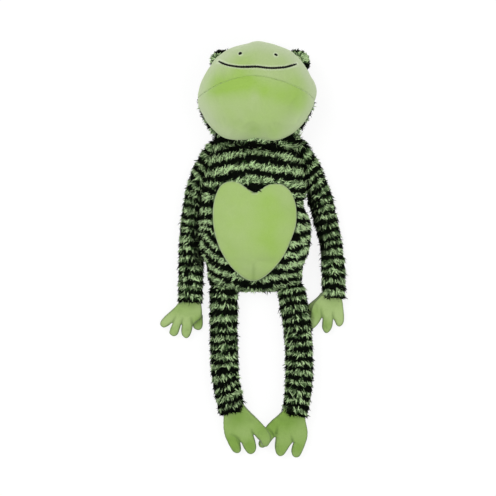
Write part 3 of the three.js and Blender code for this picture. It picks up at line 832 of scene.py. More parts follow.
# The head's surface: the outline drawn in and raised ring by ring, as its profile says.
def headForm(grow=0.0, around=168, levels=96):
    height, spread, shift = walkedProfile(head["profile"], levels, head["profileWeight"])
    middle = onRay(head["middle"], head["level"])
    outline = smoothLine(onRay(head["outline"], head["level"]), around, closed=True) - middle
    reach = np.linalg.norm(outline, axis=1)[:, None]
    outline = outline * (1 + grow / reach)
    flat = middle + outline[None] * spread[:, None, None]
    flat[..., 1] += (shift * head["crown"])[:, None]
    low, tall = -grow - head["sunk"], head["height"] + 2 * grow
    z = low + height * tall
    rings = np.concatenate([flat, np.repeat(z[:, None, None], around, 1)], -1)
    top = (middle[0], middle[1] + head["profile"][-1][2] * head["crown"], low + tall)
    return ringedForm((*middle, low), rings, top)


# The height over the seam between face and back, which falls towards the chin.
def faceField(points):
    tilt = np.radians(head["seamTilt"])
    middle = onRay(head["middle"], head["level"])
    return ((points[:, 1] - middle[1]) * np.sin(tilt)
            + (points[:, 2] - head["seamHeight"]) * np.cos(tilt))


# Even bands across the head, which lean with the height.
def headStripe(points):
    distance, lean, far, length = head["stripe"]
    return bands((points[:, 1] + lean * points[:, 2] + far * waves(points, length, 3)) / distance + 0.5)


# The pile lies down towards the floor and a little outwards.
def headComb(points):
    middle = np.array([*onRay(head["middle"], head["level"]), head["combLevel"]])
    return unit(points - middle) * head["comb"] + [0, 0, -1]


# The face and the chin: the egg's upper side, parted at the arch and drawn in at seams and stitches.
def buildFace():
    points, faces = headForm()
    arch = smoothLine(onRay(head["arch"], head["archLevel"]), 120)
    belowArch = np.interp(points[:, 0], arch[:, 0], arch[:, 1]) - points[:, 1]
    face = faceField(points)
    mouth = smoothLine(onRay(stitches["mouth"], stitches["level"]), 60)
    spot = onRay(head["dimple"], head["chinLevel"])
    chinEnd = onRay(head["chin"], head["chinLevel"])[1]
    for name, (sign, green, patched) in head["panels"].items():
        kept, rim = trimmed(np.column_stack([points, face, belowArch]), faces, face)
        kept, rim = trimmed(kept, rim, sign * kept[:, 4])
        up = normalsOf(kept, rim)
        arched = np.abs(kept[:, 4])
        lip = awayFrom(kept, mouth)
        wide, long = head["dimpleSize"]
        dimple = bell(kept[:, 0] - spot[0], wide) * bell(kept[:, 1] - spot[1], long)
        drawn = (bell(arched, *head["archGroove"]) + bell(kept[:, 3], *head["rimGroove"])
                 + bell(lip, *head["mouthGroove"]) + head["dimpleDepth"] * dimple)
        deep, length = head["uneven"]
        place = kept[:, :3] + up * (deep * waves(kept[:, :3], length, 8) - drawn)[:, None]

        vivid = green + patched * patches(kept, head["patches"], stitches["level"])
        # painted sheen: paler on the sloping sides and more so by the chin, and a painted highlight in a pale
        # rim round the mouth
        side, more = head["brushedSide"]
        chinward = softStep(kept[:, 1] - chinEnd, 0, head["chinRise"])
        brushed = (side + more * chinward) * softStep(1 - up[:, 2], *head["sideSlope"])
        at, *rimSize = head["mouthRim"]
        brushed += bell(lip - at, *rimSize)
        sewn = (lip < head["heldMouth"]) | (dimple > head["heldDimple"])
        for pixel, _ in stitches["nostrils"].values():
            gap = np.hypot(*(kept[:, :2] - onRay(pixel, stitches["level"])).T)
            sewn |= gap < head["heldNostril"]
            # a painted highlight in a pale rim round each nostril
            at, *rimSize = head["nostrilRim"]
            brushed += bell(gap - at, *rimSize)
        low, high, faded = head["seamFade"]
        stitched = 1 - head["stitchDepth"] * (1 - np.sin(kept[:, 0] / head["stitchLength"]))
        seam = bell(arched, *head["archSeam"]) * stitched
        seam *= 1 - faded * softStep(np.abs(kept[:, 0]), low, high)
        makeCloth(name + "_cloth", pressedCloth(place, rim, sewn, "face"), rim, finishes["velboa"],
                  "head", "velboa", {"vivid": vivid, "seam": seam, "brushed": np.clip(brushed, 0, 1)},
                  head["wall"], head["fill"], name)


# The back of the head: a skin inside the egg, with pile on it that starts at the face's seam and is
# longer by the chin.
def buildHeadBack():
    points, faces = headForm(-head["back"], 120, 70)
    behind = -faceField(points)
    kept, rim = trimmed(np.column_stack([points, behind]), faces, behind + head["overlap"])
    makeCloth("head_back_cloth", kept, rim, finishes["pile"], "head", "striped_plush",
              skinValues(kept, headStripe), head["wall"], head["fill"], "head_back", "head_stuffing")
    low = onRay(head["fringeFrom"], head["combLevel"])[1]
    least, more = head["fringe"]
    length = least + more * softStep(low - points[:, 1], *head["fringeReach"])
    growPile("head_back_pile", "head", (np.column_stack([points, length]), faces), headComb, headStripe,
             weight=softStep(behind, *head["pileEdge"]), **head["pile"])


# The height of a surface's upper side over places in the XY plane, from its nearest points.
def heightOver(points, places, nearest=4):
    upper = points[points[:, 2] > points[:, 2].mean()]
    gap = ((places[:, None, :2] - upper[None, :, :2]) ** 2).sum(-1)
    near = np.argsort(gap, 1)[:, :nearest]
    weight = 1 / (np.take_along_axis(gap, near, 1) + 1e-9)
    return (upper[near, 2] * weight).sum(1) / weight.sum(1)


# A round section carried along a path, its size given at each point, closed at both ends.
def threadForm(path, sizes, around=10):
    heading = unit(np.gradient(path, axis=0))
    side = unit(np.cross(heading, [0, 0, 1.0]))
    over = np.cross(side, heading)
    cos, sin = circle(around)
    ring = side[:, None] * cos[:, None] + over[:, None] * sin[:, None]
    rings = path[:, None] + ring * sizes[:, None, None]
    return ringedForm(path[0] - heading[0] * sizes[0], rings, path[-1] + heading[-1] * sizes[-1])


# A flattened ball across a normal, ribbed along its length as satin stitches are.
def ovalPad(centre, normal, size, slant, ridges):
    x, y, z = ballRings(40, 20)
    z = z * (1 + stitches["ridgeDepth"] * np.cos(x * ridges * np.pi))
    local = np.stack([x, y, z], -1) * size / 2
    normal = unit(np.array(normal))
    right = unit(np.cross([0, 1.0, 0.01], normal))
    up = np.cross(normal, right)
    cos, sin = np.cos(slant), np.sin(slant)
    axes = np.stack([right * cos + up * sin, up * cos - right * sin, normal])
    pole = normal * size[2] / 2
    return ringedForm(centre + pole, centre + local @ axes, centre - pole)


# The mouth's thread lies on the face and swells and thins as it twists.
def buildStitches():
    points, _ = headForm()
    flat = smoothLine(onRay(stitches["mouth"], stitches["level"]), 240)
    path = np.column_stack([flat, heightOver(points, flat) - stitches["mouthSunk"]])
    along = np.linspace(0, 1, len(path))
    end, fromEnd = stitches["mouthEnd"], np.minimum(along, 1 - along)
    size = stitches["mouthWidth"] / 2 * (end + (1 - end) * softStep(fromEnd, 0, stitches["mouthTaper"]))
    twist = np.sin(along * stitches["mouthTwists"] * 2 * np.pi)
    share, length = stitches["mouthUneven"]
    size = size * (1 + stitches["twistDepth"] * twist + share * waves(along[:, None], length, 4))
    piece = makePiece("mouth_line", *threadForm(path, size), finishes["thread"], "head", "black_thread")
    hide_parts("mouth_thread")
    for side, (pixel, slant) in stitches["nostrils"].items():
        spot = onRay([pixel], stitches["level"])
        nostril = ovalPad(np.array([*spot[0], heightOver(points, spot)[0]]), stitches["nostrilFacing"],
                          np.array(stitches["nostrilSize"]), slant, stitches["nostrilRidges"])
        piece = makePiece("nostril_stitch_" + side, *nostril, finishes["thread"], "head", "black_thread")
        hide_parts("nostril_" + side)


# Eye bumps: a furry hood round a smooth front, half hidden behind the muzzle

eyes = {
    # in millimetres, as far as the pupil's depth
    "middle": (5.6, 203.2, 36.0),
    "spread": 50.4,
    "radius": 17.5,
    "cloth": 1.2,  # the smooth front's depth in the ball
    "seam": {"left": 13.2, "right": 15.0},  # from the middle to the cut between front and hood
    "hood": {"left": (0.0, 0.0, 3.4), "right": (1.4, 1.6, 4.6)},  # the pile's shift in X and Y, and its inset
    "hoodGap": 0.6,
    # a dark band's middle and the next one's distance
    "stripes": {"left": (196.0, 30.0), "right": (220.0, 22.0)},
    "pupil": (6.0, 9.2, 1.8),
    "pupilSunk": 1.4,
    "pupilRidges": 8,
    # where the pupils look, and where the smooth fronts face
    "lean": {"left": (0.12, 0.10, 1.0), "right": (-0.21, 0.29, 1.0)},
    "front": {"left": (-0.17, 0.10, 1.0), "right": (-0.21, 0.29, 1.0)},
    "groove": (1.3 * mm, 1.4 * mm),
    "green": 0.35,
    # the smooth front takes an even share of the pale, painted-sheen colour all over
    "brushed": 0.4,
    "seamColour": (0.6 * mm, 0.5),
    "wander": (2.5 * mm, 16 * mm),
    "overlap": 2 * mm,
    "pileEdge": (-0.5 * mm, 0.5 * mm),
    "pile": {"density": 0.9, "length": 6.0 * mm},
    "comb": (0.8, 0.8, 0.3),
    "combBack": 0.8,
    "wall": 1.0 * mm,
    "fill": 0.8,
}


# A ball cut across: its front is smooth cloth with a stitched pupil, and the hood behind is furry.
def buildEye(side, sign):
    centre = (np.array(eyes["middle"]) + [sign * eyes["spread"], 0, 0]) * mm
    facing, front = unit(np.array(eyes["lean"][side])), unit(np.array(eyes["front"][side]))
    ball = eyes["radius"] - eyes["cloth"]
    points, faces = ballForm(centre, ball * mm)
    ahead = (points - centre) @ front - eyes["seam"][side] * mm
    kept, rim = trimmed(np.column_stack([points, ahead]), faces, ahead)
    place = kept[:, :3] - normalsOf(kept, rim) * bell(kept[:, 3], *eyes["groove"])[:, None]
    width, strength = eyes["seamColour"]
    makeCloth(f"eye_front_{side}_cloth", place, rim, finishes["velboa"], "head", "eye_velboa",
              {"vivid": np.full(len(kept), eyes["green"]), "brushed": np.full(len(kept), eyes["brushed"]),
               "seam": strength * np.exp(-kept[:, 3] / width)},
              eyes["wall"], eyes["fill"], "eye_front_" + side)
    spot = centre + facing * (eyes["radius"] - eyes["pupilSunk"]) * mm
    pupil = ovalPad(spot, facing, np.array(eyes["pupil"]) * mm, 0.0, eyes["pupilRidges"])
    piece = makePiece(f"eye_{side}_stitch", *pupil, finishes["thread"], "head", "black_thread")
    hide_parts("eye_" + side)

    x, y, inset = eyes["hood"][side]
    hood = centre + [x * mm, y * mm, 0]
    points, faces = ballForm(hood, (eyes["radius"] - inset) * mm)
    cut = eyes["seam"][side] * (eyes["radius"] - inset) / ball - eyes["hoodGap"]
    behind = cut * mm - (points - hood) @ front
    first, step = eyes["stripes"][side]

    def stripe(places):
        far, length = eyes["wander"]
        return bands((places[:, 1] + far * waves(places, length, 9) - first * mm) / (step * mm))

    def comb(places):
        return unit(places - hood) * eyes["comb"] - front * eyes["combBack"]

    kept, rim = trimmed(np.column_stack([points, behind]), faces, behind + eyes["overlap"])
    makeCloth(f"eye_bump_{side}_cloth", kept, rim, finishes["pile"], "head", "striped_plush",
              skinValues(kept, stripe), eyes["wall"], eyes["fill"], "eye_bump_" + side)
    growPile(f"eye_bump_{side}_pile", "head", (points, faces), comb, stripe, seed=200 + sign,
             weight=softStep(behind, *eyes["pileEdge"]), **eyes["pile"])


makeCamera()
buildFace()
buildHeadBack()
buildStitches()
for side, sign in (("left", 1), ("right", -1)):
    buildEye(side, sign)
print("head made")


# Torso: a pillow that lies on the floor all along, with a heart of short nap on its front

torso = {
    "top": 114 * mm,
    "length": 218 * mm,
    "halfWidth": 74 * mm,
    "halfHeight": 40 * mm,
    "sunk": 0.5 * mm,  # the lowest points, under the floor
    "power": 2.3,
    "sideSeam": 37 * mm,
    "bandBend": 14 * mm,
    "bandSide": 50 * mm,  # from the middle to where the side rows are counted
    "bandMost": 1.25,  # of that distance, past which the bands run level
    "lowFrom": (4 * mm, 30 * mm),  # below the frame's origin, which lies on the heart
    "seatFrom": (55 * mm, 85 * mm),
    "seatRise": 0.5,  # of the low bands' rise
    "riseFrom": (44 * mm, 78 * mm),  # from the middle to the sides
    # for the frog's right, then its left: how far the low bands climb at the sides, and the dark bands'
    # rows at the middle and at the side
    "sideRise": (20 * mm, 8 * mm),
    "bands": [
        ([133, 146, 159, 173, 189, 204, 219, 233, 247, 260, 273, 285.5, 297],
         [143, 155, 169, 181, 191, 204, 217, 231, 241, 252, 264, 274, 284]),
        ([133, 146, 159, 173, 189, 201, 212, 224, 240, 252, 263, 274, 285.5, 297],
         [143, 156, 168, 179, 191, 200, 210, 222, 238, 249, 259, 270, 278, 288])],
    "profile": [  # along, half width, half height
        [0.0, 0.0, 0.0], [0.004, 0.24, 0.14], [0.016, 0.45, 0.3], [0.046, 0.62, 0.47], [0.092, 0.72, 0.62],
        [0.156, 0.79, 0.75], [0.257, 0.87, 0.88], [0.385, 0.935, 0.96], [0.523, 0.98, 1.0],
        [0.683, 0.99, 1.0], [0.78, 0.935, 0.92], [0.82, 0.88, 0.86], [0.87, 0.845, 0.78],
        [0.93, 0.83, 0.63], [0.975, 0.77, 0.44], [0.996, 0.4, 0.2], [1.0, 0.0, 0.0]],
    "profileWeight": 0.34,
    "waist": (0.47, 0.07, 7.5 * mm),  # drawn in on the left: where along, how far and how deep
    "back": 3.8 * mm,  # the skin under the pile, from the outline
    # where each pile grows: the front's share, the upper or lower half, strands a square millimetre
    # and what differs from the pile's values
    "piles": {
        "chest_pile": (True, True, 0.56, {"paleShare": 0.42}),
        # more pale strands on the belly: for contrast, and painted light where the lower belly slopes away
        # from the key light
        "belly_pile": (True, False, 0.56, {"paleShare": 0.62}),
        "back_pile_upper": (False, True, 0.42, {}),
        "back_pile_lower": (False, False, 0.42, {}),
    },
    "pileSplit": 5 * mm,
    "pileEdge": (-0.6 * mm, 0.6 * mm),  # at the side seam
    "heartEdge": (0.0, 0.8 * mm),
    "heartOverlap": 1.5 * mm,
    "shortest": 0.62,  # of the length, beside the heart
    "shortReach": (0.5 * mm, 6 * mm),
    "chestFrom": (0.0, 60 * mm),
    "combChest": (0.62, 0.75, 0.1),
    "combBelly": (70 * mm, -0.55),  # how far out it lies all to the side, and how much it lies down
    "wall": 1.2 * mm,
    "fill": 0.7,
}


# The torso's surface: rounded sections of superellipse form across its length, each resting on the floor.
def torsoForm(grow=0.0, around=128, levels=120):
    along, wide, high = walkedProfile(torso["profile"], levels, torso["profileWeight"])
    x, z = (squared(value, 2 / torso["power"]) for value in circle(around))
    drawnIn = bell(along - torso["waist"][0], *torso["waist"][1:])
    halfWide = (torso["halfWidth"] + grow) * wide[:, None] * x - drawnIn[:, None] * np.maximum(x, 0)
    lift = torso["halfHeight"] * high - torso["sunk"]
    halfHigh = lift[:, None] + (torso["halfHeight"] + grow) * high[:, None] * z
    middle, long = torso["top"] - torso["length"] / 2, torso["length"] + 2 * grow
    y = middle + (0.5 - along) * long
    rings = np.stack([halfWide, np.repeat(y[:, None], around, 1), halfHigh], -1)
    start, end = ((0, middle + half * long, -torso["sunk"]) for half in (0.5, -0.5))
    return ringedForm(start, rings, end)


# Bands that arch up on the chest and hang down on the lower belly: their rows at the middle and the sides.
def torsoStripe(points):
    x, y = points[:, 0], points[:, 1]
    low = softStep(-y, *torso["lowFrom"]) * (1 - torso["seatRise"] * softStep(-y, *torso["seatFrom"]))
    rise = np.where(x < 0, *torso["sideRise"]) * softStep(np.abs(x), *torso["riseFrom"]) * low
    y = y + wander(points, 5) - rise
    bend = torso["bandBend"]
    aside = np.minimum((np.sqrt(x * x + bend * bend) - bend) / torso["bandSide"], torso["bandMost"])
    phase = np.zeros(len(points))
    for (middle, side), mine in zip(torso["bands"], (x < 0, x >= 0)):
        phase = np.where(mine, bandAt(y, middle) * (1 - aside) + bandAt(y, side) * aside, phase)
    return bands(phase)


# The pile lies up and to one side on the chest, and down and outwards below.
def torsoComb(points):
    chest = softStep(points[:, 1], *torso["chestFrom"])[:, None]
    reach, down = torso["combBelly"]
    out = np.stack([points[:, 0] / reach, np.full(len(points), down), points[:, 2] * 0], 1)
    return chest * torso["combChest"] + (1 - chest) * out


# Heart: the smooth patch on the belly, with a dart at its tip

heart = {
    "outline": [(255.0, 194.9), (252.0, 192.2), (248.5, 190.0), (244.0, 187.0), (239.6, 183.8),
                (234.5, 182.1), (228.0, 182.0), (220.8, 185.4), (215.6, 195.0), (213.3, 206.0),
                (212.9, 219.0), (214.6, 233.0), (218.6, 246.0), (225.6, 259.5), (234.5, 270.6),
                (244.5, 278.8), (253.1, 282.0), (262.5, 278.6), (272.8, 269.6), (283.0, 256.5),
                (290.4, 241.5), (294.6, 230.0), (296.6, 219.0), (296.4, 207.0), (293.6, 196.5),
                (288.4, 189.0), (282.4, 184.9), (276.5, 183.8), (271.0, 184.4), (265.6, 186.8),
                (261.0, 189.8), (258.0, 192.2)],
    "level": 78 * mm,  # the height at which it is seen
    "under": 0.8 * mm,  # its depth in the torso's form
    "ease": 1.2 * mm,
    "dart": [(253.0, 264.0), (253.3, 272.0), (253.2, 283.0)],
    "dartLevel": 60 * mm,
    "heldDart": 1.2 * mm,
    "dartGroove": (0.9 * mm, 1.2 * mm),
    "rimGroove": (1.4 * mm, 2.2 * mm),
    "swell": (30 * mm, 1.8 * mm),
    "uneven": (0.35 * mm, 30 * mm),
    "green": 0.6,
    "patches": [((272, 215), 15, 0.24), ((268, 240), 14, 0.2), ((264, 198), 10, 0.16), ((222, 230), 16, -0.1),
                ((288, 200), 10, -0.12), ((255, 268), 12, -0.12), ((271, 248), 9, 0.14)],
    # seams, and the painted highlight of a pale rim inside them, by width and strength
    "dartSeam": (0.6 * mm, 0.4),
    "rimSeam": (0.5 * mm, 0.25),
    "rim": (1.0 * mm, 0.8 * mm, 0.5),
}


# How far inside the heart places on the torso's upper side are. Places lower down count as outside.
def insideHeart(points):
    outline = smoothLine(onRay(heart["outline"], heart["level"]), 220, closed=True)
    return np.where(points[:, 2] > torso["halfHeight"], insideBy(points, outline) + heart["ease"], -1.0)


# The heart swells from its rim to its middle and is drawn in at the rim and the dart.
def buildHeart():
    points, faces = torsoForm(-heart["under"], 150, 150)
    field = insideHeart(points)
    kept, rim = trimmed(np.column_stack([points, field]), faces, field)
    up, inner = normalsOf(kept, rim), kept[:, 3]
    dart = awayFrom(kept, smoothLine(onRay(heart["dart"], heart["dartLevel"]), 8))
    width, depth = heart["rimGroove"]
    drawn = depth * np.exp(-inner / width) + bell(dart, *heart["dartGroove"])
    reach, height = heart["swell"]
    deep, length = heart["uneven"]
    swell = height * softStep(inner, 0, reach) + deep * waves(kept[:, :3], length, 21)
    place = pressedCloth(kept[:, :3] + up * (swell - drawn)[:, None], rim, dart < heart["heldDart"], "heart")
    # a painted highlight: a pale rim just inside the heart's edge
    at, *rimSize = heart["rim"]
    makeCloth("belly_heart_cloth", place, rim, finishes["velboa"], "torso", "belly_velboa",
              {"vivid": heart["green"] + patches(kept, heart["patches"], heart["level"]),
               "seam": bell(dart, *heart["dartSeam"]) + bell(inner, *heart["rimSeam"]),
               "brushed": bell(inner - at, *rimSize)},
              torso["wall"], torso["fill"], "belly_heart")


# The striped cloth, open at the heart, and its pile, which is short beside the heart.
def buildTorso():
    points, faces = torsoForm(-torso["back"])
    field = points[:, 2] - torso["sideSeam"]
    outside = -insideHeart(points)
    for name, sign, *stuffing in (("torso_front", 1), ("torso_back", -1, "torso_stuffing")):
        kept, rim = trimmed(np.column_stack([points, outside]), faces, sign * field)
        if sign > 0:
            kept, rim = trimmed(kept, rim, kept[:, 3] + torso["heartOverlap"])
        makeCloth(name + "_cloth", kept, rim, finishes["pile"], "torso", "striped_plush",
                  skinValues(kept, torsoStripe), torso["wall"], torso["fill"], name, *stuffing)
    clear = softStep(outside, *torso["heartEdge"])
    short = torso["shortest"] + (1 - torso["shortest"]) * softStep(outside, *torso["shortReach"])
    shaped = (np.column_stack([points, short]), faces)
    front = softStep(field, *torso["pileEdge"])
    upper = points[:, 1] > torso["pileSplit"]
    for seed, (name, (ahead, above, density, own)) in enumerate(torso["piles"].items()):
        weight = (clear * front if ahead else 1 - front) * (upper if above else ~upper)
        growPile(name, "torso", shaped, torsoComb, torsoStripe, density, 30 + seed, weight, **own)


# Neck: a furry roll that fills the fold between chest and chin

neck = {
    "middle": (3.0, 100.0, 40.0),  # in millimetres, as far as the bend
    "half": (52.0, 15.5, 26.0),
    "bendFrom": 92.0,
    "bendTo": 108.0,
    "power": 0.8,
    "pile": {"density": 0.6, "seed": 25, "length": 9.5 * mm},
    "fill": 0.6,
}


# An oval ball that is squared in X.
def buildNeck():
    middle, half = (np.array(neck[key]) * mm for key in ("middle", "half"))
    skin = ballForm(middle, half, 72, 40, neck["power"])
    cloth = makeCloth("neck_cloth", *skin, finishes["pile"], None, "striped_plush",
                      skinValues(skin[0], torsoStripe), None, neck["fill"])
    fur = growPile("neck_pile", None, skin, torsoComb, torsoStripe, **neck["pile"])
    for piece in (cloth, fur):
        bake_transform(piece)


buildHeart()
buildTorso()
buildNeck()
print("torso made")


# Limbs: tubes of striped pile along a bent middle line

tube = {
    "level": 20 * mm,  # the height at which the middle lines are seen
    "sunk": 0.5 * mm,
    "back": 3.6 * mm,  # the skin under the pile, from the outline
    "dome": 12,  # rings in the half ball at the top
    "tuckedIn": 5 * mm,  # the closed end, past the cuff
    # how dark the painted shade in an arm's fold is
    "foldDark": 0.8,
    "foldEnd": (-8 * mm, 4 * mm),
    # shares of the length, over which the top's tilt ends and the end's starts
    "slantEnds": ((0.15, 0.6), (0.45, 0.95)),
    "endEdge": (-0.9 * mm, 0.9 * mm),
    "density": 0.54,
    "fill": 0.6,
    "comb": (0.85, 0.7, 0.15),  # along, to the sides and up
}

# Each limb's middle line and its dark bands are pixels, its radius millimetres. Its radii are shares of
# the radius along it. The fold is painted shade, a dark stretch on the inner side where the arm lies against
# the torso, from one share of the radius to another and down to a row. The tilt slants the bands, at the top
# and at the end. The end can be dark for some millimetres.
limbs = {
    "arm_right": {
        "radius": 16.5, "seed": 60, "countedAt": 1, "fold": (-0.05, 0.3, 264), "tilt": (-0.55, 0),
        "line": [(214.5, 149), (205, 170), (197.2, 200), (192.3, 240), (190.8, 280), (190.2, 299.5)],
        "bands": [145, 155, 164.5, 175.5, 185.5, 195, 203.5, 214, 223.5, 233.5, 243.5, 253, 263, 272.5, 281,
                  290.5, 301],
        "radii": [[0, 0.70], [0.08, 0.80], [0.18, 0.9], [0.34, 1.0], [0.7, 0.97], [1, 0.93]]},
    "arm_left": {
        "radius": 16.5, "seed": 70, "countedAt": 1, "fold": (0.25, 0.6, 258), "tilt": (0.5, 0),
        "line": [(299, 148), (310.5, 170), (319.6, 197), (328.4, 233), (331.9, 252), (333.6, 274),
                 (333.7, 295)],
        "bands": [142, 152, 161.5, 172, 182, 191, 200.5, 208.5, 219, 228, 236.5, 245, 255, 266, 276, 286.5,
                  297],
        "radii": [[0, 0.72], [0.08, 0.80], [0.22, 0.86], [0.36, 0.95], [0.5, 0.91], [0.68, 0.84], [0.84, 0.9],
                  [1, 0.88]]},
    "leg_right": {
        "radius": 17.5, "seed": 80, "countedAt": 0, "greenShare": 0.41, "tilt": (0, 0.24), "darkEnd": 5.3,
        "line": [(224, 292.9), (223.8, 325), (224, 351), (225.4, 376), (228.4, 394), (231.6, 410)],
        "bands": [281, 291, 301, 312, 324.5, 334, 342.5, 352, 361, 370.5, 382.5, 391.5, 402, 411],
        "radii": [[0, 1.02], [0.4, 1.0], [0.75, 0.99], [1, 0.94]]},
    "leg_left": {
        "radius": 17.5, "seed": 90, "countedAt": 0, "greenShare": 0.41, "tilt": (0, -0.15), "darkEnd": 2.6,
        "line": [(291.5, 292.9), (295.9, 318), (298.2, 337), (299.3, 369), (297.6, 395), (295.2, 412)],
        "bands": [285, 295, 304.5, 314.5, 323, 331, 338, 348, 357.5, 368, 378, 387, 396, 404.5, 416],
        "radii": [[0, 1.02], [0.4, 1.0], [0.75, 0.99], [1, 0.94]]},
}


# A limb's middle line on the floor, and its length at each of its points.
def limbLine(limb, count=200):
    line = smoothLine(onRay(limb["line"], tube["level"]), count)
    return line, lengthAlong(line)


# A half ball at the shoulder or hip, then rings round the middle line, closed inside the cuff.
def limbForm(limb, grow=0.0, around=64, levels=110):
    line, gone = limbLine(limb)
    dome = np.linspace(0, np.pi / 2, tube["dome"] + 2)[1:-1]
    walk = np.linspace(0, gone[-1], levels)
    heading = unit(np.gradient(line, axis=0))
    centre, front = (np.stack([np.interp(walk, gone, values[:, k]) for k in (0, 1)], 1)
                     for values in (line, heading))
    size = limb["radius"] * mm * alongTable(limb["radii"], walk / gone[-1])
    first = size[0] + grow
    lift = size - tube["sunk"]
    centres = np.concatenate([centre[0] - front[0] * (first * np.cos(dome))[:, None], centre])
    headings = np.concatenate([np.repeat(front[:1], len(dome), 0), front])
    sizes = np.concatenate([first * np.sin(dome), size + grow])
    lifts = np.concatenate([np.full(len(dome), lift[0]), lift])
    cos, sin = circle(around)
    across = np.stack([headings[:, 1], -headings[:, 0]], 1)
    flat = centres[:, None] + across[:, None] * (sizes[:, None] * cos)[..., None]
    z = lifts[:, None] + sizes[:, None] * sin
    rings = np.concatenate([flat, z[..., None]], -1)
    start = (*(centre[0] - front[0] * first), lift[0])
    return ringedForm(start, rings, (*(centre[-1] - front[-1] * tube["tuckedIn"]), lift[-1]))


# How far along a limb places are, how far across it, and its heading there.
def limbAlong(limb, points):
    line, gone = limbLine(limb, 120)
    gap = ((points[:, None, :2] - line[None]) ** 2).sum(-1)
    nearest = gap.argmin(1)
    heading = unit(np.gradient(line, axis=0))[nearest]
    away = points[:, :2] - line[nearest]
    across = away[:, 0] * heading[:, 1] - away[:, 1] * heading[:, 0]
    return gone[nearest] + (away * heading).sum(1), across, heading


# Bands across the middle line. Their rows are counted at the middle, or along the outer side.
def limbStripe(limb, points):
    line, gone = limbLine(limb, 120)
    heading = unit(np.gradient(line, axis=0))
    radius, inwards = limb["radius"] * mm, np.sign(line[0, 0])
    counted = limb["countedAt"] * radius
    rowHeight = line[:, 1] + counted * np.abs(heading[:, 0])
    along, across, _ = limbAlong(limb, points)
    dark = 0
    # painted shade: the arm's fur goes dark on its inner side, where it lies against the torso
    if "fold" in limb:
        low, high, row = limb["fold"]
        end = onRay((camera["originPixel"][0], row), stripes["rowLevel"])[1]
        inner = softStep(across * inwards / radius, low, high)
        dark = tube["foldDark"] * inner * softStep(points[:, 1] - end, *tube["foldEnd"])
    share, (top, bottom), (first, last) = along / gone[-1], limb["tilt"], tube["slantEnds"]
    slant = top * (1 - softStep(share, *first)) + bottom * softStep(share, *last)
    along = along - wander(points, limb["seed"]) - (across + inwards * counted) * slant
    if "darkEnd" in limb:
        dark = softStep(along - gone[-1] + limb["darkEnd"] * mm, *tube["endEdge"])
    y = np.interp(along, gone, rowHeight) - np.minimum(along, 0) - np.maximum(along - gone[-1], 0)
    return bands(bandAt(y, limb["bands"]), limb.get("greenShare", stripes["greenShare"])) * (1 - dark)


# A limb's cloth and pile. The pile lies down along the limb and out to its sides.
def buildLimb(name, limb):
    def stripe(points):
        return limbStripe(limb, points)

    def comb(points):
        _, across, heading = limbAlong(limb, points)
        down, out, up = tube["comb"]
        side = np.stack([heading[:, 1], -heading[:, 0]], 1) * (across / (limb["radius"] * mm))[:, None]
        return np.column_stack([heading * down + side * out, np.full(len(points), up)])

    skin = limbForm(limb, -tube["back"])
    part, side = name.split("_")
    makeCloth(name + "_cloth", *skin, finishes["pile"], name, "striped_plush", skinValues(skin[0], stripe),
              None, tube["fill"], f"{part}_sleeve_{side}", f"{part}_stuffing_{side}")
    growPile(name + "_pile", name, skin, comb, stripe, tube["density"], limb["seed"])


for name, limb in limbs.items():
    buildLimb(name, limb)
print("limbs made")


# Hands and feet: two panels of short nap, seamed all round an outline and stuffed

stuffed = {
    "level": 15 * mm,  # the heights at which marks, outlines and folded layers are seen
    "outlineLevel": 12 * mm,
    "foldedLevel": 8 * mm,
    "spacing": 1.5 * mm,
    "rows": (0.45 * mm, 1.1 * mm),  # two rows of points beside the rim
    "rowClear": 0.8,  # of a row's own distance, below which a point is left out
    "clear": 1.7 * mm,  # from the rim to the even grid
    "rimDepth": 0.05 * mm,  # within which a point belongs to the rim
    "floorGap": 0.35 * mm,
    "pucker": (0.22 * mm, 3 * mm, 4.5 * mm),  # at the rim: how deep, how far in and how long
    "puckerFrom": 0.3 * mm,
    "uneven": (0.05, 16 * mm),
    "crease": (1.7 * mm, 0.42),
    # the width of the painted shade along a crease, where the cloth is also held, and how dark that shade is
    "creaseSeam": 1.1 * mm,
    "creaseShade": 0.75,
    "creaseEnd": 0.3,  # of its depth at the start
    # the dark seam line at the rim, which also paints the shade where the edge curves down
    "rimSeam": 1.1 * mm,
    "folded": (4.6 * mm, 4.2),  # the second layer's middle height and thickness
    "wall": 0.8 * mm,
    "fill": 0.6,
}

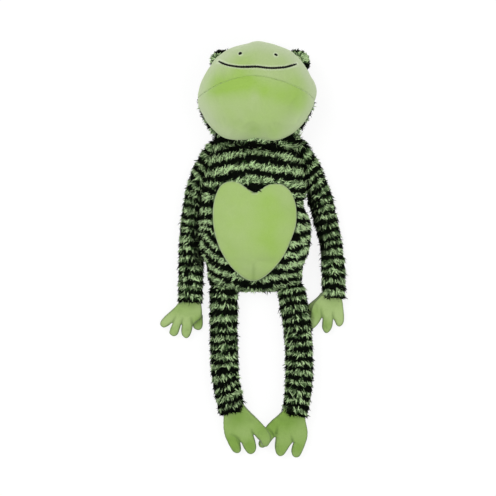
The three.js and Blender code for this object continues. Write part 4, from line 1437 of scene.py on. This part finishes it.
# A glove's wrist is a pixel and a height. Its outline, creases, patches of strong green and lifted toes
# are pixels, its heights, its thickness and the length of its fall from the wrist millimetres.
gloves = {
    "hand_right": {
        "panels": ("hand_back_right", "hand_palm_right"), "wrist": (190.7, 296.9, 14.3), "height": 8.8,
        "thick": 8.6, "fallEnd": 16.0, "green": 0.0,
        "outline": [(181.6, 296.0), (179.7, 300.6), (175.1, 306.8), (169.4, 312.1), (164.6, 316.4),
                    (160.7, 321.3), (160.4, 325.2), (163.6, 327.6), (167.6, 326.2), (171.4, 323.4),
                    (172.3, 323.8), (170.2, 329.0), (169.4, 333.2), (173.2, 336.3), (177.3, 334.7),
                    (179.4, 330.0), (181.0, 325.0), (181.7, 325.2), (181.2, 330.5), (182.2, 335.3),
                    (186.0, 338.3), (189.4, 336.3), (191.6, 331.5), (193.2, 325.4), (196.6, 321.8),
                    (200.4, 319.0), (202.0, 314.5), (201.8, 308.5), (200.6, 302.0), (199.2, 296.0),
                    (196.0, 290.8), (190.5, 289.0), (185.0, 290.8)],
        "folded": [(191.4, 316.0), (192.2, 323.0), (193.8, 328.0), (198.0, 330.2), (201.2, 328.8),
                   (202.7, 325.2), (202.8, 320.0), (202.2, 314.5), (197.0, 312.5)],
        "creases": [[(172.0, 323.5), (175.5, 317.0)], [(181.3, 325.0), (182.5, 318.0)],
                    [(193.0, 325.5), (191.5, 318.0)]],
        "vivid": [((190, 303), 11, 0.45), ((176, 310), 8, 0.4), ((186, 330), 7, 0.3), ((174, 330), 5, 0.4),
                  ((199, 322), 7, 0.8)],
    },
    "hand_left": {
        "panels": ("hand_back_left", "hand_palm_left"), "wrist": (333.0, 292.9, 14.3), "height": 8.8,
        "thick": 8.6, "fallEnd": 16.0, "green": 0.0,
        "outline": [(325.0, 288.4), (322.8, 292.0), (319.5, 296.4), (315.6, 300.6), (312.2, 306.0),
                    (310.6, 312.0), (309.7, 318.5), (309.2, 324.6), (310.7, 328.6), (314.1, 328.0),
                    (318.4, 323.6), (321.6, 318.4), (322.5, 318.8), (322.1, 323.0), (322.3, 328.4),
                    (325.4, 333.0), (329.2, 331.8), (332.2, 326.8), (333.2, 320.0), (333.9, 319.8),
                    (335.3, 322.6), (336.8, 325.4), (339.7, 326.6), (343.0, 323.8), (344.2, 318.2),
                    (343.5, 309.0), (342.3, 299.5), (341.4, 292.5), (338.4, 287.2), (332.0, 285.0),
                    (327.4, 286.0)],
        "folded": [(322.0, 292.5), (316.8, 297.5), (311.4, 302.0), (308.0, 305.4), (307.4, 310.0),
                   (308.6, 315.0), (312.0, 317.5), (317.0, 312.0), (321.0, 305.0), (323.5, 298.0)],
        "creases": [[(322.0, 318.0), (320.5, 309.0)], [(333.5, 319.5), (332.0, 312.0)]],
        "vivid": [((333, 299), 8, 0.25), ((315, 312), 8, 0.6), ((327, 325), 7, 0.7)],
    },
    "foot_right": {
        "panels": ("foot_top_right", "foot_sole_right"), "wrist": (232.2, 410.6, 15.6), "height": 10.0,
        "thick": 9.6, "fallEnd": 22.0, "green": 0.6,
        "outline": [(223.3, 407.0), (223.7, 413.5), (223.5, 421.5), (223.8, 429.3), (225.3, 436.7),
                    (229.6, 446.0), (232.8, 451.2), (236.3, 453.2), (239.7, 452.4), (241.1, 449.4),
                    (240.7, 445.0), (240.4, 442.6), (241.2, 442.8), (244.2, 448.6), (247.6, 453.0),
                    (251.2, 454.2), (254.8, 452.0), (256.3, 447.4), (255.4, 441.4), (253.7, 435.6),
                    (254.3, 434.9), (257.2, 438.2), (260.5, 441.8), (262.0, 445.2), (264.7, 446.7),
                    (267.6, 446.0), (270.0, 442.4), (271.2, 438.2), (269.8, 433.4), (266.3, 428.3),
                    (262.2, 423.8), (255.8, 416.9), (249.5, 410.8), (244.6, 405.2), (240.0, 400.6),
                    (233.0, 398.8), (226.5, 401.0)],
        "folded": None,
        "creases": [[(240.6, 443.0), (236.4, 437.4), (231.6, 434.2)], [(253.8, 435.2), (251.4, 430.2)],
                    [(240.9, 449.5), (239.8, 444.5), (236.6, 440.0)]],
        "lifts": [((264.5, 439.5), 9.0, 7.5)],
        # the strong green patch at the toe beside the first crease partly paints the shade of that fold
        "vivid": [((238, 418), 10, 0.4), ((232, 444), 8, 0.9), ((250, 446), 7, 0.5), ((262, 430), 8, 0.2)],
    },
    "foot_left": {
        "panels": ("foot_top_left", "foot_sole_left"), "wrist": (295.6, 410.6, 15.6), "height": 10.0,
        "thick": 9.6, "fallEnd": 22.0, "green": 0.6,
        "outline": [(284.6, 405.4), (282.2, 410.6), (276.4, 416.2), (269.8, 422.2), (265.3, 427.9),
                    (262.3, 434.0), (259.8, 439.6), (258.4, 443.6), (259.7, 447.0), (263.4, 447.8),
                    (268.0, 444.8), (272.4, 439.6), (274.8, 437.2), (275.5, 437.8), (275.0, 442.2),
                    (274.8, 447.5), (276.3, 453.4), (279.8, 456.3), (283.9, 454.7), (287.2, 450.2),
                    (290.2, 445.4), (292.8, 442.4), (293.2, 443.0), (291.9, 447.0), (291.3, 451.4),
                    (292.7, 455.8), (296.0, 457.6), (299.6, 456.2), (302.2, 451.8), (305.6, 443.4),
                    (307.5, 435.0), (306.9, 427.0), (305.0, 418.3), (304.6, 411.0), (303.0, 404.8),
                    (298.0, 400.8), (290.5, 400.8)],
        "folded": None,
        "creases": [[(274.9, 437.0), (271.0, 432.0), (267.6, 429.0)], [(293.0, 442.8), (291.4, 436.0)],
                    [(276.0, 434.0), (277.5, 428.0)]],
        "lifts": [((262.5, 442.0), 9.0, -3.6)],
        "vivid": [((287, 418), 12, 0.5), ((281, 448), 7, 0.3), ((298, 448), 7, 0.35), ((270, 428), 8, 0.7)],
    },
}


# A flat cut inside an outline: its own points, two rows beside them and an even grid, in triangles.
def flatCut(outline, spacing):
    after = np.roll(outline, -1, 0)
    if (outline[:, 0] * after[:, 1] - outline[:, 1] * after[:, 0]).sum() < 0:
        outline = outline[::-1]
    heading = unit(np.roll(outline, -1, 0) - np.roll(outline, 1, 0))
    inward = np.stack([-heading[:, 1], heading[:, 0]], 1)
    rows = []
    for step in stuffed["rows"]:
        row = outline + inward * step
        rows.append(row[insideBy(row, outline) > stuffed["rowClear"] * step])
    low, high = outline.min(0), outline.max(0)
    between = spacing * 0.866  # rows of even triangles lie this far apart
    x, y = np.meshgrid(np.arange(low[0], high[0], spacing), np.arange(low[1], high[1], between))
    x[::2] += spacing / 2
    grid = np.stack([x.ravel(), y.ravel()], 1)
    grid = grid[insideBy(grid, outline) > stuffed["clear"]]
    every = np.concatenate([outline, *rows, grid])
    place = np.arange(len(outline))
    rim = np.stack([place, np.roll(place, -1)], 1)
    scale = 1 / mm  # the function's own limits suit millimetres
    found = delaunay_2d_cdt([Vector(p) for p in every * scale], rim.tolist(), [], 1, 1e-4)
    return np.array([tuple(p) for p in found[0]]) / scale, np.array(found[2]), outline


# How far a stuffed cloth rises over each point of its cut: the root of a field that is zero on the
# rim and curves down evenly inside, so that a long strip becomes a round tube.
def stuffedHeight(points, faces, depth, rounds=1800):
    a, b = bothWays(edgesOf(faces)).T
    met = np.bincount(a, minlength=len(points))
    reach = ((points[a] - points[b]) ** 2).sum(1)
    push = np.bincount(a, reach, len(points)) / met / 2
    inner = depth > stuffed["rimDepth"]
    level = np.zeros(len(points))
    for _ in range(rounds):
        level = np.where(inner, np.bincount(a, level[b], len(points)) / met + push, 0)
    return np.sqrt(level)


# The height that nears a limit and never passes it.
def limited(height, most):
    return height / (1 + (height / most) ** 3) ** (1 / 3)


# The upper and lower panels of a stuffed cut, about a middle height of their own. Columns four and
# five of their points hold the depth inside the rim and the creases.
def stuffedPanels(outline, middle, thick, creases=(), seed=1):
    points, faces, outline = flatCut(outline, stuffed["spacing"])
    depth = np.maximum(insideBy(points, outline), 0)
    height = limited(stuffedHeight(points, faces, depth), thick * mm)
    deep, reach, length = stuffed["pucker"]
    pucker = deep * np.exp(-depth / reach) * waves(points, length, seed)
    share, length = stuffed["uneven"]
    height = height * (1 + share * waves(points, length, seed + 1)) + pucker * (depth > stuffed["puckerFrom"])
    fold = np.zeros(len(points))
    fade = np.linspace(1, stuffed["creaseEnd"], 15)
    for line in creases:
        bent = smoothLine(onRay(line, stuffed["level"]), len(fade) + 1)
        gap = stretchGaps(points, bent[:-1], bent[1:])
        height = height * (1 - (fade * bell(gap, *stuffed["crease"])).max(1))
        # a band along each crease, which holds the cloth and carries painted shade
        fold = np.maximum(fold, (fade * bell(gap, stuffed["creaseSeam"])).max(1))
    centre, down = middle(points), faces[:, ::-1]
    upper = np.column_stack([points, centre + height, depth, fold])
    lower = np.column_stack([points, np.maximum(centre - height, stuffed["floorGap"]), depth, fold])
    upper = pressedCloth(upper, faces, fold > 0.5, "glove")
    lower = pressedCloth(lower, down, fold > 0.5, "glove")
    lower[:, 2] = np.maximum(lower[:, 2], stuffed["floorGap"])
    return (upper, faces), (lower, down)


# Strong green in patches, dark at the rim for the seam line and painted shade where the edge curves down, and
# painted shade along the creases.
def gloveValues(glove, points):
    seam = np.maximum(bell(points[:, 3], stuffed["rimSeam"]), stuffed["creaseShade"] * points[:, 4])
    return {"vivid": glove["green"] + patches(points, glove["vivid"], stuffed["level"]), "seam": seam}


# A hand or foot, whose lower panel can hold a second layer that is folded out at the edge.
def buildGlove(name, glove):
    px, py, high = glove["wrist"]
    wrist = onRay((px, py), stuffed["level"])

    # from the wrist's height to the glove's own, with single toes lifted or pressed down
    def middle(points):
        fall = softStep(wrist[1] - points[:, 1], 0, glove["fallEnd"] * mm)
        level = high * (1 - fall) + glove["height"] * fall
        return (level + patches(points, glove.get("lifts", ()), stuffed["level"])) * mm

    outline = smoothLine(onRay(glove["outline"], stuffed["outlineLevel"]), 260, closed=True)
    seed = 300 + len(name) + len(glove["outline"])
    upper, lower = stuffedPanels(outline, middle, glove["thick"], glove["creases"], seed)
    if glove["folded"]:
        cut = smoothLine(onRay(glove["folded"], stuffed["foldedLevel"]), 90, closed=True)
        level, thick = stuffed["folded"]
        folded = stuffedPanels(cut, lambda points: np.full(len(points), level), thick, seed=seed + 5)
        layers = [lower, *folded]
        starts = np.cumsum([0] + [len(points) for points, _ in layers])
        lower = (np.concatenate([points for points, _ in layers]),
                 np.concatenate([faces + start for (_, faces), start in zip(layers, starts)]))
    above, below = glove["panels"]
    stuffing = name.replace("_", "_stuffing_")
    for panel, *nodes in ((upper, above, stuffing), (lower, below)):
        makeCloth(nodes[0] + "_cloth", *panel, finishes["glove"], name, "velboa",
                  gloveValues(glove, panel[0]), stuffed["wall"], stuffed["fill"], *nodes)


for name, glove in gloves.items():
    buildGlove(name, glove)
print("gloves made")


# Stage: a pale floor and soft light

stage = {
    "bounce": (0.86, 0.86, 0.86),
    "seen": (0.18, 0.18, 0.18),
    "glow": 0.86,
    "half": 6.0,
    "world": 0.56,
    "lampPower": 20.0,
    "lamps": {"keyLight": ((-0.9, 0.7, 2.2), 1.4, 1.0), "fillLight": ((1.2, -0.4, 2.0), 1.6, 0.6)},
}


# The floor throws back light as a white one does, but shows the camera a fainter shadow.
def buildStage():
    floor = Finish("floor", Roughness=0.9, SpecularIORLevel=0.0, EmissionColor=(1.0, 1.0, 1.0))
    ray = floor.node("ShaderNodeLightPath", output="Is Camera Ray")
    floor.set(BaseColor=floor.blendColours(ray, stage["bounce"], stage["seen"]),
              EmissionStrength=ray * stage["glow"])
    half = stage["half"]
    corners = np.array([[-half, -half, 0], [half, -half, 0], [half, half, 0], [-half, half, 0]])
    made = makePiece("floor", corners, np.array([[0, 1, 2], [0, 2, 3]]), floor, None, None, smooth=False)
    world = bpy.data.worlds.new("studio")
    bpy.context.scene.world = world
    world.use_nodes = True
    background = world.node_tree.nodes["Background"]
    background.inputs["Color"].default_value = (1, 1, 1, 1)
    background.inputs["Strength"].default_value = stage["world"]
    for name, (place, size, power) in stage["lamps"].items():
        data = bpy.data.lights.new(name, "AREA")
        data.size, data.energy = size, stage["lampPower"] * power
        lamp = addObject(name, data)
        lamp.location = place
        lamp.rotation_mode = "QUATERNION"
        lamp.rotation_quaternion = (-Vector(place)).to_track_quat("-Z", "Y")


buildStage()
bpy.context.scene.view_settings.view_transform = "Standard"
